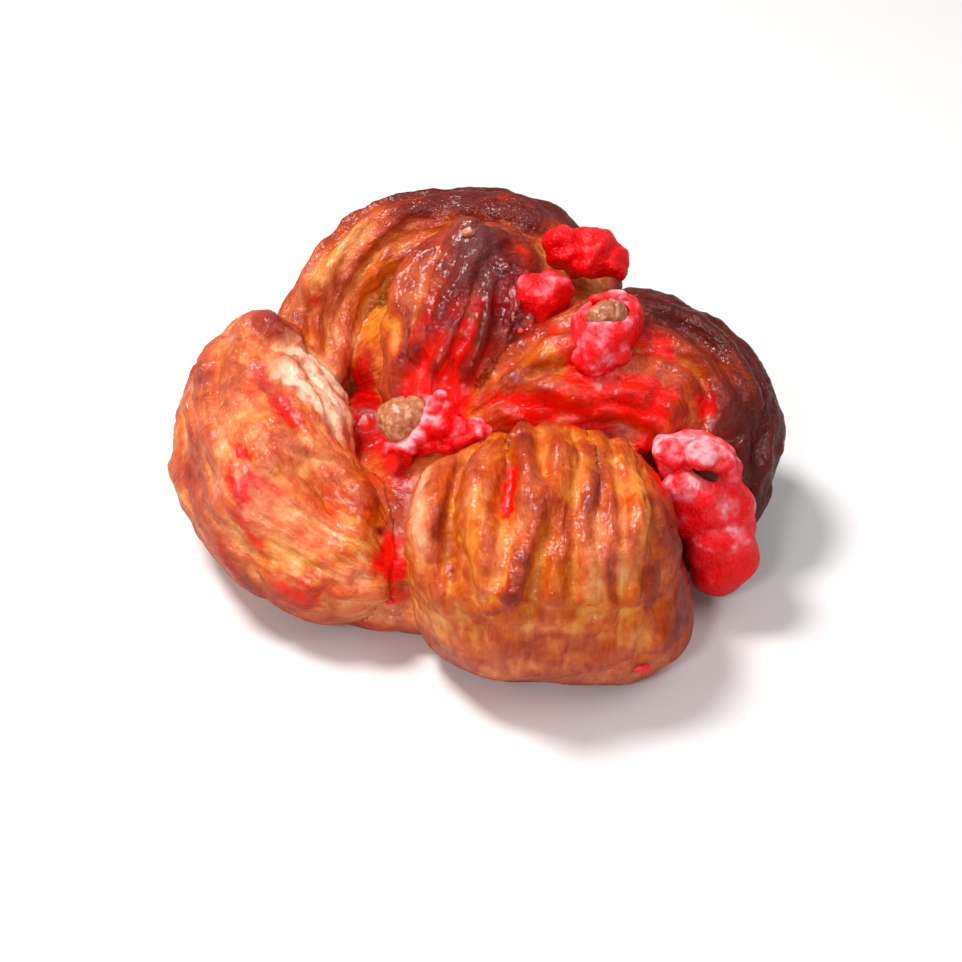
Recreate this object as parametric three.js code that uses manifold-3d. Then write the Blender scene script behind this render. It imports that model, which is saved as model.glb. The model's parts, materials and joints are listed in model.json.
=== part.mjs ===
// A small round babka: one strand of sweet dough tied in a knot and baked, with pink sugared
// nuts sunk into its creases. Millimetres, +Z up, the bun's flat underside on z = 0, the front
// of the bun towards -Y. The knot is a handful of loaves of dough that cross over each other.
// Each loaf is a sphere pulled out along a curve, with its pleats pressed in, and all loaves
// are joined into one solid. The sugared nuts are lumpy pebbles that sit in sockets in it.

import * as THREE from "three";
import { mergeVertices } from "three/addons/utils/BufferGeometryUtils.js";
import Module from "manifold-3d";

const wasm = await Module();
wasm.setup();

// ---------------------------------------------------------------- driving dimensions, in mm

const UP = new THREE.Vector3(0, 0, 1);
const MIDDLE = new THREE.Vector3(-4.309, -0.548, 0); // middle of the footprint in the knot's own frame
const BIG_SWELL = { height: 1.1, size: 26 }; // the broad unevenness of risen dough
const SMALL_SWELL = { height: 0.45, size: 9 }; // the finer lumps on it
const SOCKET_GAP = 0.3; // air between a sugared nut and the dough or nut that it sits in
const CUT_SIZE = 160; // the block that cuts the underside flat

const CRUST = { color: 0xa5561f, roughness: 0.45, metalness: 0 };
const SUGAR = { color: 0xd8122c, roughness: 0.35, metalness: 0 };
const NUT = { color: 0x8a6238, roughness: 0.6, metalness: 0 };

// ---------------------------------------------------------------- helpers

// A repeatable number from 0 to 1, the i-th drawn from a seed.
function draw(seed, i) {
  const v = Math.sin(seed * 127.1 + i * 311.7) * 43758.5453;
  return v - Math.floor(v);
}

// Soft lumps of a given size, about -1 to 1: a few waves that cross at drawn angles.
function swell(p, size, seed) {
  const waves = 7;
  let sum = 0;
  for (let i = 0; i < waves; i++) {
    const turn = 2 * Math.PI * draw(seed, 3 * i);
    const z = 2 * draw(seed, 3 * i + 1) - 1;
    const r = Math.sqrt(1 - z * z);
    const k = (2 * Math.PI) / (size * (0.7 + 0.6 * draw(seed, 3 * i + 2)));
    const across = p.x * r * Math.cos(turn) + p.y * r * Math.sin(turn) + p.z * z;
    sum += Math.sin(k * across + 2 * Math.PI * draw(seed, 40 + i));
  }
  return sum / Math.sqrt(waves);
}

const ease = (x) => {
  const c = Math.min(1, Math.max(0, x));
  return c * c * (3 - 2 * c);
};

const modulo = (x, m) => x - m * Math.floor(x / m);

// A cosine or sine raised so that a round section turns square (over 2) or ridged (under 2).
const squared = (x, power) => Math.sign(x) * Math.abs(x) ** (2 / power);

// The value at t of a width that is given at the start, the middle and the end.
function along([start, middle, end], t) {
  const pull = 2 * middle - 0.5 * start - 0.5 * end;
  return start * (1 - t) ** 2 + 2 * pull * t * (1 - t) + end * t * t;
}

// The solid of a geometry whose shared points are merged.
function solid(geometry) {
  return new wasm.Manifold(
    new wasm.Mesh({
      numProp: 3,
      vertProperties: new Float32Array(geometry.attributes.position.array),
      triVerts: new Uint32Array(geometry.index.array),
    }),
  );
}

const join = (solids) => solids.reduce((whole, next) => whole.add(next));

// A geometry with nothing but its positions, shared points merged.
function bare(geometry) {
  geometry.deleteAttribute("normal");
  geometry.deleteAttribute("uv");
  return mergeVertices(geometry);
}

// Moves every point of a geometry: `shape` changes the point that it is given.
function reshape(geometry, shape) {
  const place = geometry.attributes.position;
  const p = new THREE.Vector3();
  for (let i = 0; i < place.count; i++) {
    p.fromBufferAttribute(place, i);
    shape(p);
    place.setXYZ(i, p.x, p.y, p.z);
  }
  return geometry;
}

// ---------------------------------------------------------------- pleats

// How far the pleats press in (or stand out) at a place across and a place down the loaf,
// both 0 to 1. A pleat slants from `top` to `foot`, bowed aside by `bow` halfway, runs between
// `from` and `to`, and is `depth` mm deep (a ridge if negative) and `width` wide.
function pleatRelief(pleats, across, down) {
  let sum = 0;
  for (const { top, foot, bow = 0, from, to, depth, width } of pleats) {
    const middle = top + (foot - top) * down + bow * 4 * down * (1 - down);
    const fade = ease((down - from) / 0.1) * ease((to - down) / 0.14);
    sum -= depth * Math.exp(-(Math.abs((across - middle) / width) ** 1.5)) * fade;
  }
  return sum;
}

// Pleats side by side between two places across, uneven by a seeded draw.
function drawPleats({ seed, count, depth, width, right = 0, left = 0.5, slant = 0.02, from = 0.05 }) {
  return Array.from({ length: count }, (_, i) => {
    const r = [0, 1, 2, 3, 4, 5].map((k) => draw(seed, 7 * i + k));
    const place = right + ((left - right) * (i + 0.5 + 0.6 * (r[0] - 0.5))) / count;
    return {
      top: place + slant * (r[1] - 0.5),
      foot: place - slant * (r[1] - 0.5),
      from: from + 0.25 * r[2] ** 2,
      to: 0.95 - 0.3 * r[3] ** 2,
      depth: depth * (0.5 + 0.9 * r[4]),
      width: width * (0.6 + 0.8 * r[5]),
    };
  });
}

// Pleats that run along a loaf.
const lengthwise = (pleats) => (t, turn) => pleatRelief(pleats, turn, t);

// Pleats that hang over the front of a loaf, from its crest behind the top to its foot, in a
// flap that stands `flap.thick` mm proud and ends in scallops above a smooth band.
const CREST_TURN = 0.44;
const FOOT_TURN = -0.1;
const hanging = (pleats, flap) => (t, turn) => {
  const down = (CREST_TURN - turn) / (CREST_TURN - FOOT_TURN);
  const hem = flap.hem + 0.02 * Math.sin(2 * Math.PI * flap.scallops * t);
  const inside = ease((t - flap.start) / 0.06) * ease((flap.end - t) / 0.06) * ease((down - 0.1) / 0.3);
  const proud = flap.thick * inside * (1 - ease((down - hem) / 0.06));
  return pleatRelief(pleats, t, down) + proud;
};

// ---------------------------------------------------------------- a loaf of dough

// Presses a point down onto a plane, softly, over about `soft` mm.
function pressFlat(p, { on, facing, soft }) {
  const normal = new THREE.Vector3(...facing).normalize();
  const height = p.clone().sub(new THREE.Vector3(...on)).dot(normal);
  if (height > -6 * soft) {
    p.addScaledVector(normal, -soft * Math.log1p(Math.exp(Math.min(40, height / soft))));
  }
}

// A sphere pulled out along a curve. `spine` has the curve's three or four control points,
// `side` and `rise` the half widths across it and upwards at its start, middle and end. `full`
// squares its ends off and `edge` its section (a low one leaves a ridge). `relief` gives the
// pleats at a place along the spine (0 to 1) and a turn round it (0 on its right, 0.25 on top,
// 0.5 on its left), and `press` is a plane that the loaf is pressed flat against. Its points
// crowd together round the turn `crowdAt`, and `spread` (0 to 1) spaces its rings evenly.
function loaf({
  spine, side, rise, full, edge = 2.3, relief, press, rings, segments, crowdAt = 0.25, spread = 0,
}) {
  const points = spine.map((point) => new THREE.Vector3(...point));
  const Curve = points.length === 4 ? THREE.CubicBezierCurve3 : THREE.QuadraticBezierCurve3;
  const curve = new Curve(...points);
  const crowd = 0.45;
  return solid(reshape(bare(new THREE.SphereGeometry(1, segments, rings)), (p) => {
    const evenT = Math.acos(THREE.MathUtils.clamp(p.y, -1, 1)) / Math.PI;
    const t = THREE.MathUtils.lerp((1 - p.y) / 2, evenT, spread);
    const centre = curve.getPoint(t);
    const forward = curve.getTangent(t);
    const right = new THREE.Vector3().crossVectors(forward, UP).normalize();
    const upward = new THREE.Vector3().crossVectors(right, forward);
    const even = Math.atan2(p.x, p.z) - 2 * Math.PI * crowdAt;
    const round = even - crowd * Math.sin(even) + 2 * Math.PI * crowdAt;
    const turn = modulo(round / (2 * Math.PI) + 0.25, 1) - 0.25;
    const shrink = (4 * t * (1 - t)) ** (1 / full);
    const width = along(side, t);
    const height = along(rise, t);
    const pleated = 1 + (relief ? relief(t, turn) : 0) / Math.sqrt(width * height);
    p.copy(centre);
    p.addScaledVector(right, width * shrink * pleated * squared(Math.cos(round), edge));
    p.addScaledVector(upward, height * shrink * pleated * squared(Math.sin(round), edge));
    const outward = p.clone().sub(centre).normalize();
    const big = BIG_SWELL.height * swell(p, BIG_SWELL.size, 1);
    const small = SMALL_SWELL.height * swell(p, SMALL_SWELL.size, 6);
    p.addScaledVector(outward, (big + small) * Math.min(1, 2 * shrink));
    if (press) pressFlat(p, press);
  }));
}

// ---------------------------------------------------------------- a pebble

// A lumpy pebble: its centre, half sizes and turns about X, Y and Z in degrees, the height of
// its lumps and their size. `grow` is added all round, which makes the cutter of its socket.
function pebble({ at, half, turn = [0, 0, 0], lumps = 0.6, size = 6, seed, detail }, grow = 0) {
  const turned = new THREE.Euler(...turn.map(THREE.MathUtils.degToRad));
  const widths = new THREE.Vector3(...half);
  const centre = new THREE.Vector3(...at);
  return solid(reshape(bare(new THREE.IcosahedronGeometry(1, detail)), (p) => {
    const outward = p.clone().divide(widths).normalize();
    p.multiply(widths);
    p.addScaledVector(outward, grow + lumps * swell(p, size, seed));
    p.applyEuler(turned).add(centre);
  }));
}

// ---------------------------------------------------------------- the knot

// The strand passes over and under itself, so the knot shows six turns of it, and three plain
// loaves fill the middle and carry the turns at the back.

const middleOfKnot = loaf({
  spine: [[-46, -3, 4], [-3, 0, 14], [36, -1, 5]],
  side: [22, 31, 26], rise: [10, 16, 11], full: 3.2, rings: 10, segments: 22,
});

const backFoot = loaf({
  spine: [[-33, 20, 10], [-4, 42, 11], [26, 24, 10]],
  side: [15, 15, 15], rise: [15, 15, 15], full: 2.8, rings: 12, segments: 24, crowdAt: 0.4,
});

const rightFoot = loaf({
  spine: [[8, 29, 14], [28, 28, 18], [37, 4, 14]],
  side: [13, 14, 12], rise: [14, 13, 13], full: 2.5, rings: 12, segments: 24, crowdAt: 0.4,
});

// The turn on the left is a plump pillow. The dough tore along its inner edge, which left it
// flat there, facing up and to the right.
const leftTurn = loaf({
  spine: [[-36, 27, 17], [-49, 8, 20], [-40, -18, 17], [-18, -25, 12]],
  side: [15, 16, 14], rise: [16, 17, 14], full: 2.9, rings: 17, segments: 38,
  relief: lengthwise(drawPleats({ seed: 3, count: 8, depth: 1.6, width: 0.022 })),
  press: { on: [-32, 3, 32.2], facing: [0.66, 0.3, 0.69], soft: 0.5 },
});

// The turn at the back stands up as a rim round a bowl.
const backRim = loaf({
  spine: [[-32, 14, 16], [-38, 38, 31], [-5, 46, 44], [21, 31, 26]],
  side: [11, 9, 11], rise: [14, 13, 14], full: 2.5, rings: 15, segments: 36,
  relief: lengthwise(drawPleats({ seed: 5, count: 7, depth: 2.2, width: 0.022, slant: 0.08 })),
});

const bowlFloor = loaf({
  spine: [[-26, 20, 18], [-6, 28, 33], [20, 27, 26]],
  side: [15, 15, 12], rise: [12, 12, 14], full: 2.4, rings: 10, segments: 22,
});

// The end of the strand folds over to a peak and comes down to the middle in pleats.
const fold = loaf({
  spine: [[6, 26, 36], [-3, 23, 54], [-8, 12, 41], [-13, -4, 18]],
  side: [8, 14, 11], rise: [5, 8, 8], full: 2.6, edge: 1.8, rings: 14, segments: 36,
  relief: lengthwise(
    drawPleats({ seed: 8, count: 6, depth: 2.4, width: 0.024, right: 0.02, left: 0.48, slant: 0.06, from: 0.15 }),
  ),
});

// The turn on the right rises from the middle and dives down at the front right.
const rightTurn = loaf({
  spine: [[-12, -3, 20], [12, 4, 37], [44, 20, 29], [35, -18, 6]],
  side: [11, 18, 13], rise: [10, 17, 12], full: 2.5, rings: 18, segments: 40,
  relief: lengthwise(drawPleats({ seed: 11, count: 9, depth: 2.2, width: 0.02, slant: 0.05 })),
});

// The turn at the front is the widest. Its pleats hang from its crest: where each one starts
// across the loaf (0 at its left end) and where it ends, how far down it runs, and how deep.
const frontPleats = [
  { top: 0.1, foot: 0.08, from: 0.2, to: 0.62, depth: 0.9, width: 0.024 },
  { top: 0.27, foot: 0.33, bow: -0.145, from: 0.12, to: 0.88, depth: 4, width: 0.036 },
  { top: 0.36, foot: 0.32, from: 0.06, to: 0.64, depth: 3.8, width: 0.04 },
  { top: 0.43, foot: 0.29, from: 0.15, to: 0.82, depth: -2, width: 0.028 },
  { top: 0.44, foot: 0.44, from: -0.08, to: 0.28, depth: 2.4, width: 0.022 },
  { top: 0.5, foot: 0.38, from: 0.42, to: 0.82, depth: 3.2, width: 0.03 },
  { top: 0.53, foot: 0.53, from: 0.2, to: 0.78, depth: 1.6, width: 0.024 },
  { top: 0.58, foot: 0.64, from: 0.02, to: 0.78, depth: 2.2, width: 0.026 },
  { top: 0.66, foot: 0.71, from: 0, to: 0.82, depth: 2.2, width: 0.024 },
  { top: 0.75, foot: 0.77, from: 0.05, to: 0.72, depth: 1.4, width: 0.022 },
  { top: 0.84, foot: 0.86, from: 0.2, to: 0.95, depth: 1.6, width: 0.028 },
];

const frontTurn = loaf({
  spine: [[-15, -27, 19], [9, -29, 20], [33, -26, 17]],
  side: [18, 20, 17], rise: [22, 21, 21], full: 3.8, rings: 44, segments: 24, crowdAt: 0.05, spread: 0.8,
  relief: hanging(frontPleats, { thick: 1.4, hem: 0.71, scallops: 8, start: 0.14, end: 0.84 }),
});

// Three ends and corners of the strand stick out as knobs: one on the rim at the back, one on
// the turn on the left, and the peak of the fold.
const knobs = [
  { at: [-33.2, 25.6, 33.8], half: [2.8, 3, 3.4], lumps: 0.2, seed: 41, detail: 1 },
  { at: [-41.8, 18.6, 29], half: [6.6, 5.2, 5.4], lumps: 0.4, seed: 42, detail: 2 },
  { at: [-4.9, 21.8, 47.6], half: [5, 5.6, 4.6], turn: [-20, 0, 0], lumps: 0.3, seed: 43, detail: 2 },
].map((each) => pebble(each));

// ---------------------------------------------------------------- sugared nuts

const grown = (pebbles) => join(pebbles.map((each) => pebble(each, SOCKET_GAP)));

const NUTS = {
  centre: { at: [-16.3, -6.4, 31.8], half: [4.9, 4, 3.9], turn: [-20, 0, 0], lumps: 0.3, seed: 31, detail: 2 },
  back: { at: [18.5, 0.2, 49.2], half: [3.6, 2.4, 2.6], turn: [0, 0, 20], lumps: 0.2, seed: 32, detail: 2 },
  right: { at: [34, -19.2, 32], half: [3.2, 0.9, 2.4], turn: [0, 20, -35], lumps: 0.1, seed: 33, detail: 1 },
};

const SUGARED = {
  centre: [
    { at: [-13.6, -4.9, 29.8], half: [8, 4.8, 5.2], turn: [0, -8, -12], lumps: 0.6, seed: 21, detail: 3 },
    { at: [-6.4, -8.6, 30.6], half: [3.4, 2, 2], turn: [0, -10, 10], lumps: 0.4, size: 4, seed: 22, detail: 2 },
    { at: [-3.3, -8.4, 31.6], half: [2.2, 1.8, 1.9], lumps: 0.3, size: 4, seed: 23, detail: 2 },
  ],
  top: [
    { at: [16.2, 24.6, 43.6], half: [6, 4.6, 4.2], lumps: 0.7, size: 5, seed: 24, detail: 3 },
    { at: [11.2, 25, 45], half: [3.2, 3.4, 4], lumps: 0.5, size: 4, seed: 25, detail: 2 },
    { at: [20.6, 24.2, 42.4], half: [2.8, 3, 2.8], lumps: 0.5, size: 4, seed: 26, detail: 2 },
  ],
  small: [
    { at: [8.2, 14.6, 42], half: [4.8, 4.6, 5.2], lumps: 0.6, size: 6, seed: 27, detail: 3 },
  ],
  back: [
    { at: [18.4, 0.8, 45], half: [5.6, 8.2, 5.4], turn: [12, 0, -22], lumps: 0.7, size: 8, seed: 28, detail: 3 },
  ],
  right: [
    { at: [33.8, -14.4, 29], half: [7.8, 5.2, 5.4], turn: [0, 14, -10], lumps: 0.8, size: 5, seed: 29, detail: 3 },
    { at: [36.8, -17.6, 21.4], half: [6.6, 5.4, 8], turn: [14, 10, 0], lumps: 0.8, size: 5, seed: 30, detail: 3 },
    { at: [39, -20.4, 13.4], half: [5.4, 4.8, 8], turn: [10, 8, 0], lumps: 0.6, size: 5, seed: 34, detail: 3 },
  ],
};

// ---------------------------------------------------------------- the babka

// A named mesh of a solid, moved so that the middle of the footprint is the origin.
function meshOf(name, body, look) {
  const { vertProperties, triVerts } = body.getMesh();
  const geometry = new THREE.BufferGeometry();
  geometry.setAttribute("position", new THREE.BufferAttribute(vertProperties, 3));
  geometry.setIndex(new THREE.BufferAttribute(triVerts, 1));
  geometry.computeVertexNormals();
  geometry.translate(-MIDDLE.x, -MIDDLE.y, -MIDDLE.z);
  const mesh = new THREE.Mesh(geometry, new THREE.MeshStandardMaterial(look));
  mesh.name = name;
  return mesh;
}

const babka = new THREE.Group();

const knot = join([
  middleOfKnot, backFoot, rightFoot, leftTurn, backRim, bowlFloor, fold, rightTurn, frontTurn, ...knobs,
]);
const block = bare(new THREE.BoxGeometry(CUT_SIZE, CUT_SIZE, CUT_SIZE));
const below = solid(block.translate(0, 0, -CUT_SIZE / 2));
const sockets = join(Object.values(SUGARED).map(grown));
babka.add(meshOf("dough", knot.subtract(below).subtract(sockets), CRUST));

for (const [place, pebbles] of Object.entries(SUGARED)) {
  const shell = join(pebbles.map((each) => pebble(each)));
  const nut = NUTS[place];
  const broken = nut ? shell.subtract(grown([nut])) : shell;
  babka.add(meshOf(`praline_${place}`, broken, SUGAR));
  if (nut) babka.add(meshOf(`nut_${place}`, pebble(nut), NUT));
}

export default babka;
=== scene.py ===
# %% [markdown]
# # A small babka with sugared nuts
# The bun is one strand of sweet dough, tied in a knot, baked and glazed with red sugar syrup.
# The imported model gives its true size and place, so it is loaded first and never moved. Every
# piece below takes its place from it, in metres, with the flat underside on z = 0.

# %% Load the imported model
import json
import math

import bpy
import numpy as np
from mathutils import Matrix, Vector
from mathutils.bvhtree import BVHTree
from mathutils.kdtree import KDTree

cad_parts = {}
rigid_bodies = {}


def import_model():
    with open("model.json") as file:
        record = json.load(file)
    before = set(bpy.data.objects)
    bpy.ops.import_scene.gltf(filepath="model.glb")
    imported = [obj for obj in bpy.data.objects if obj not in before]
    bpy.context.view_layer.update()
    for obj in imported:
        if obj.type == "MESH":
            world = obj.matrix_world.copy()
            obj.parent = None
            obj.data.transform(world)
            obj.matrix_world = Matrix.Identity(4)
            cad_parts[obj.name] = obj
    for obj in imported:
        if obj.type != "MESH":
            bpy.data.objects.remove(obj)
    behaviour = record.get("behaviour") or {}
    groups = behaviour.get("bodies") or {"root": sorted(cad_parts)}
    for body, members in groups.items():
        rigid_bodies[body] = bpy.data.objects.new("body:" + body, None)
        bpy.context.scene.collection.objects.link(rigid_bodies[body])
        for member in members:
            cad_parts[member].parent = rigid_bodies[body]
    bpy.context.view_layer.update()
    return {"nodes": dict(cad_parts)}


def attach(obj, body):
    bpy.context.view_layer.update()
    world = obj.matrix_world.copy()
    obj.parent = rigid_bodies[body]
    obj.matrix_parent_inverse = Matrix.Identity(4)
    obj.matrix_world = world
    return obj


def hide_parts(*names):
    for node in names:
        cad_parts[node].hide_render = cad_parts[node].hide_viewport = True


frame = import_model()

print("nodes:", sorted(frame["nodes"]))

# %% [markdown]
# ## The camera
# The photograph looks down on the bun from the front, at 42 degrees, with a long lens. The camera
# is placed first, because later cells put marks on the crust at the place where the camera sees
# them. They are laid on the crust in space, so they stay there from any other side.

# %% Camera
MM = 0.001
MIDDLE = np.array([-4.309, -0.548, 0.0])  # middle of the footprint in the knot's own frame, mm
FRAME_PX = 962  # the photograph is square
ELEVATION = math.radians(42)
DISTANCE = 420.0  # mm from the aim to the eye
PX_PER_MM = 5.5  # at the aim
FOCAL_PX = PX_PER_MM * DISTANCE
ORIGIN_PX = (497.3, 529.0)  # where the knot's origin shows

RIGHT = np.array([1.0, 0.0, 0.0])
ABOVE = np.array([0.0, math.sin(ELEVATION), math.cos(ELEVATION)])
BACK = np.array([0.0, -math.cos(ELEVATION), math.sin(ELEVATION)])
AIM = (RIGHT * (FRAME_PX / 2 - ORIGIN_PX[0]) + ABOVE * (ORIGIN_PX[1] - FRAME_PX / 2)) / PX_PER_MM
EYE = AIM + BACK * DISTANCE


def to_scene(points):
    """Points of the knot's frame in mm, as points of the scene in metres."""
    return (np.asarray(points) - MIDDLE) * MM


def to_knot(points):
    return np.asarray(points) / MM + MIDDLE


bpy.ops.object.select_all(action="DESELECT")
bpy.ops.object.camera_add()
camera = bpy.context.object
camera.name = "camera"
camera.data.sensor_width = 36.0
camera.data.lens = camera.data.sensor_width * FOCAL_PX / FRAME_PX
camera.data.clip_start = 0.01
camera.matrix_world = Matrix.Translation(Vector(to_scene(EYE))) @ Matrix(
    np.column_stack([RIGHT, ABOVE, BACK]).tolist()).to_4x4()
bpy.context.scene.camera = camera
print("lens", round(camera.data.lens, 1), "mm")

# %% [markdown]
# ## Helpers for shapes
# Dough has soft, uneven lumps. They are made with sine waves that cross at angles drawn from a
# seed, so the script gives the same bun on every run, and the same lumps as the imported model.
# All shaping is done on whole arrays of points, because a loop over points would be slow.

# %% Numbers and waves
def draw(seed, i):
    """A repeatable number from 0 to 1, the i-th drawn from a seed."""
    v = math.sin(seed * 127.1 + i * 311.7) * 43758.5453
    return v - math.floor(v)


def ease(x):
    c = np.clip(x, 0, 1)
    return c * c * (3 - 2 * c)


def swell(p, size, seed):
    """Soft lumps of a given size in mm, about -1 to 1."""
    waves = 7
    total = 0
    for i in range(waves):
        turn = 2 * math.pi * draw(seed, 3 * i)
        z = 2 * draw(seed, 3 * i + 1) - 1
        r = math.sqrt(1 - z * z)
        k = 2 * math.pi / (size * (0.7 + 0.6 * draw(seed, 3 * i + 2)))
        across = p @ np.array([r * math.cos(turn), r * math.sin(turn), z])
        total = total + np.sin(k * across + 2 * math.pi * draw(seed, 40 + i))
    return total / math.sqrt(waves)


def grain(p, size, seed=0):
    """Gradient noise, about -1 to 1, with cells of a given size (a number or one per axis)."""
    q = p / np.asarray(size, float) + 17.3 * seed
    cell = np.floor(q).astype(np.int64)
    f = q - cell
    blend = f * f * f * (f * (f * 6 - 15) + 10)
    total = np.zeros(len(p))
    for corner in range(8):
        step = np.array([corner & 1, corner >> 1 & 1, corner >> 2 & 1])
        c = cell + step
        h = (c[:, 0] * 374761393 + c[:, 1] * 668265263 + c[:, 2] * 1440662683 + seed * 974634777) & 0xFFFFFFFF
        h = ((h ^ (h >> 13)) * 1274126177) & 0xFFFFFFFF
        h = (h ^ (h >> 16)) & 0xFFFFFFFF
        a = (h & 1023) / 1023 * 2 * math.pi
        z = ((h >> 10) & 1023) / 1023 * 2 - 1
        r = np.sqrt(1 - z * z)
        d = f - step
        dot = d[:, 0] * r * np.cos(a) + d[:, 1] * r * np.sin(a) + d[:, 2] * z
        weight = np.prod(np.where(step == 1, blend, 1 - blend), axis=1)
        total += weight * dot
    return total * 1.6


def layered(p, size, seed, layers=3):
    """Grain with finer and finer layers."""
    total, height = 0, 1.0
    for i in range(layers):
        total = total + height * grain(p, np.asarray(size, float) / 2 ** i, seed + i)
        height *= 0.5
    return total


def creased(p, size, seed, layers=3):
    """Round lumps with sharp creases between them, about -0.3 to 0.8."""
    return 2 * np.abs(layered(p, size, seed, layers)) - 0.35


# %% [markdown]
# Blender keeps the points of a mesh one by one. These helpers read and write them as one array,
# apply a modifier as the Apply button does, and join objects.

# %% Meshes
def active(obj):
    bpy.ops.object.select_all(action="DESELECT")
    obj.select_set(True)
    bpy.context.view_layer.objects.active = obj
    return obj


def points_of(obj):
    co = np.empty(len(obj.data.vertices) * 3)
    obj.data.vertices.foreach_get("co", co)
    return co.reshape(-1, 3)


def put_points(obj, points):
    obj.data.vertices.foreach_set("co", np.ascontiguousarray(points, dtype=np.float64).ravel())
    obj.data.update()


def normals_of(obj):
    n = np.empty(len(obj.data.vertices) * 3, np.float32)
    obj.data.vertex_normals.foreach_get("vector", n)
    return n.reshape(-1, 3).astype(float)


def apply(obj, kind, **values):
    """Adds a modifier with these values and applies it."""
    active(obj)
    modifier = obj.modifiers.new(kind.lower(), kind)
    for key, value in values.items():
        setattr(modifier, key, value)
    bpy.ops.object.modifier_apply(modifier=modifier.name)


def outward(obj):
    """Turns all faces outward: a closed shape with its faces inward has a volume under 0."""
    mesh = obj.data
    mesh.calc_loop_triangles()
    corners = np.empty(len(mesh.loop_triangles) * 3, np.int32)
    mesh.loop_triangles.foreach_get("vertices", corners)
    a, b, c = points_of(obj)[corners.reshape(-1, 3)].transpose(1, 0, 2)
    if np.einsum("ij,ij->i", a, np.cross(b, c)).sum() < 0:
        mesh.flip_normals()


def joined(objects, name):
    bpy.ops.object.select_all(action="DESELECT")
    for obj in objects:
        obj.select_set(True)
    bpy.context.view_layer.objects.active = objects[0]
    if len(objects) > 1:
        bpy.ops.object.join()
    whole = bpy.context.view_layer.objects.active
    whole.name = whole.data.name = name
    return whole


def set_field(obj, name, values):
    """Keeps one number, or one vector, per point as a named attribute that a material can read."""
    vector = values.ndim == 2
    kept = obj.data.attributes.new(name, "FLOAT_VECTOR" if vector else "FLOAT", "POINT")
    kept.data.foreach_set("vector" if vector else "value",
                          np.ascontiguousarray(values, dtype=np.float32).ravel())


# %% [markdown]
# ## A loaf of dough
# The knot is made of loaves that cross over each other, one for each turn of the strand that
# shows. A loaf could be a curve with a bevel, but a bevel has no pleats and no flat ends. Here a
# UV sphere is added, and its points are then moved: its rings are spread along a curve, and each
# ring becomes a soft-cornered section that is wide in the middle of the loaf and closes at its
# ends. Pleats are lines along or across the loaf where the section is pressed in.

# %% Pleats
def pleat_relief(pleats, across, down):
    total = 0
    for p in pleats:
        middle = p["top"] + (p["foot"] - p["top"]) * down + p.get("bow", 0) * 4 * down * (1 - down)
        fade = ease((down - p["start"]) / 0.1) * ease((p["end"] - down) / 0.14)
        total = total - p["depth"] * np.exp(-np.abs((across - middle) / p["width"]) ** 1.5) * fade
    return total


def draw_pleats(seed, count, depth, width, right=0.0, left=0.5, slant=0.02, start=0.05):
    pleats = []
    for i in range(count):
        r = [draw(seed, 7 * i + k) for k in range(6)]
        place = right + (left - right) * (i + 0.5 + 0.6 * (r[0] - 0.5)) / count
        pleats.append(dict(
            top=place + slant * (r[1] - 0.5), foot=place - slant * (r[1] - 0.5),
            start=start + 0.25 * r[2] ** 2, end=0.95 - 0.3 * r[3] ** 2,
            depth=depth * (0.5 + 0.9 * r[4]), width=width * (0.6 + 0.8 * r[5])))
    return pleats


def lengthwise(pleats):
    return lambda t, turn: pleat_relief(pleats, turn, t)


CREST_TURN, FOOT_TURN = 0.44, -0.1


def hanging(pleats, thick, hem, scallops, start, end):
    """Pleats that hang over the front of a loaf in a flap with a scalloped hem."""
    def relief(t, turn):
        down = (CREST_TURN - turn) / (CREST_TURN - FOOT_TURN)
        edge = hem + 0.02 * np.sin(2 * math.pi * scallops * t)
        inside = ease((t - start) / 0.06) * ease((end - t) / 0.06) * ease((down - 0.1) / 0.3)
        proud = thick * inside * (1 - ease((down - edge) / 0.06))
        wander = 0.014 * np.sin(8 * down + 14 * t) + 0.009 * np.sin(17 * down - 23 * t)
        uneven = (0.8 + 0.3 * np.sin(6 * down + 31 * t)) * (1 - 0.25 * ease((t - 0.38) / 0.1))
        return uneven * ease((down - 0.02) / 0.14) * pleat_relief(pleats, t + wander, down) + proud
    return relief


# %% [markdown]
# The section of a loaf is a superellipse, between an ellipse and a box. A power on the sine and
# cosine gives it, and a second one closes the ends bluntly or in a point. Last come slow
# swells, as dough that has risen has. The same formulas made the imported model.

# %% The loaf itself
BIG_SWELL, SMALL_SWELL = (1.1, 26, 1), (0.45, 9, 6)  # height and size in mm, seed


def bezier(spine, t):
    """Points and directions on a Bezier curve with three or four control points."""
    c = np.array(spine, float)
    t = t[:, None]
    if len(c) == 3:
        point = c[0] * (1 - t) ** 2 + 2 * c[1] * t * (1 - t) + c[2] * t ** 2
        way = 2 * (c[1] - c[0]) * (1 - t) + 2 * (c[2] - c[1]) * t
    else:
        point = (c[0] * (1 - t) ** 3 + 3 * c[1] * t * (1 - t) ** 2
                 + 3 * c[2] * t ** 2 * (1 - t) + c[3] * t ** 3)
        way = (3 * (c[1] - c[0]) * (1 - t) ** 2 + 6 * (c[2] - c[1]) * t * (1 - t)
               + 3 * (c[3] - c[2]) * t ** 2)
    return point, way / np.linalg.norm(way, axis=1, keepdims=True)


def along(widths, t):
    start, middle, end = widths
    pull = 2 * middle - 0.5 * start - 0.5 * end
    return start * (1 - t) ** 2 + 2 * pull * t * (1 - t) + end * t * t


def squared(x, power):
    return np.sign(x) * np.abs(x) ** (2 / power)


def press_flat(p, on, facing, soft):
    n = np.array(facing) / np.linalg.norm(facing)
    height = (p - np.array(on)) @ n
    return p - np.outer(soft * np.log1p(np.exp(np.minimum(40, height / soft))), n)


GUIDE = []  # for each loaf: name, points in mm, strand coordinates, parts of its length and girth


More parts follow.
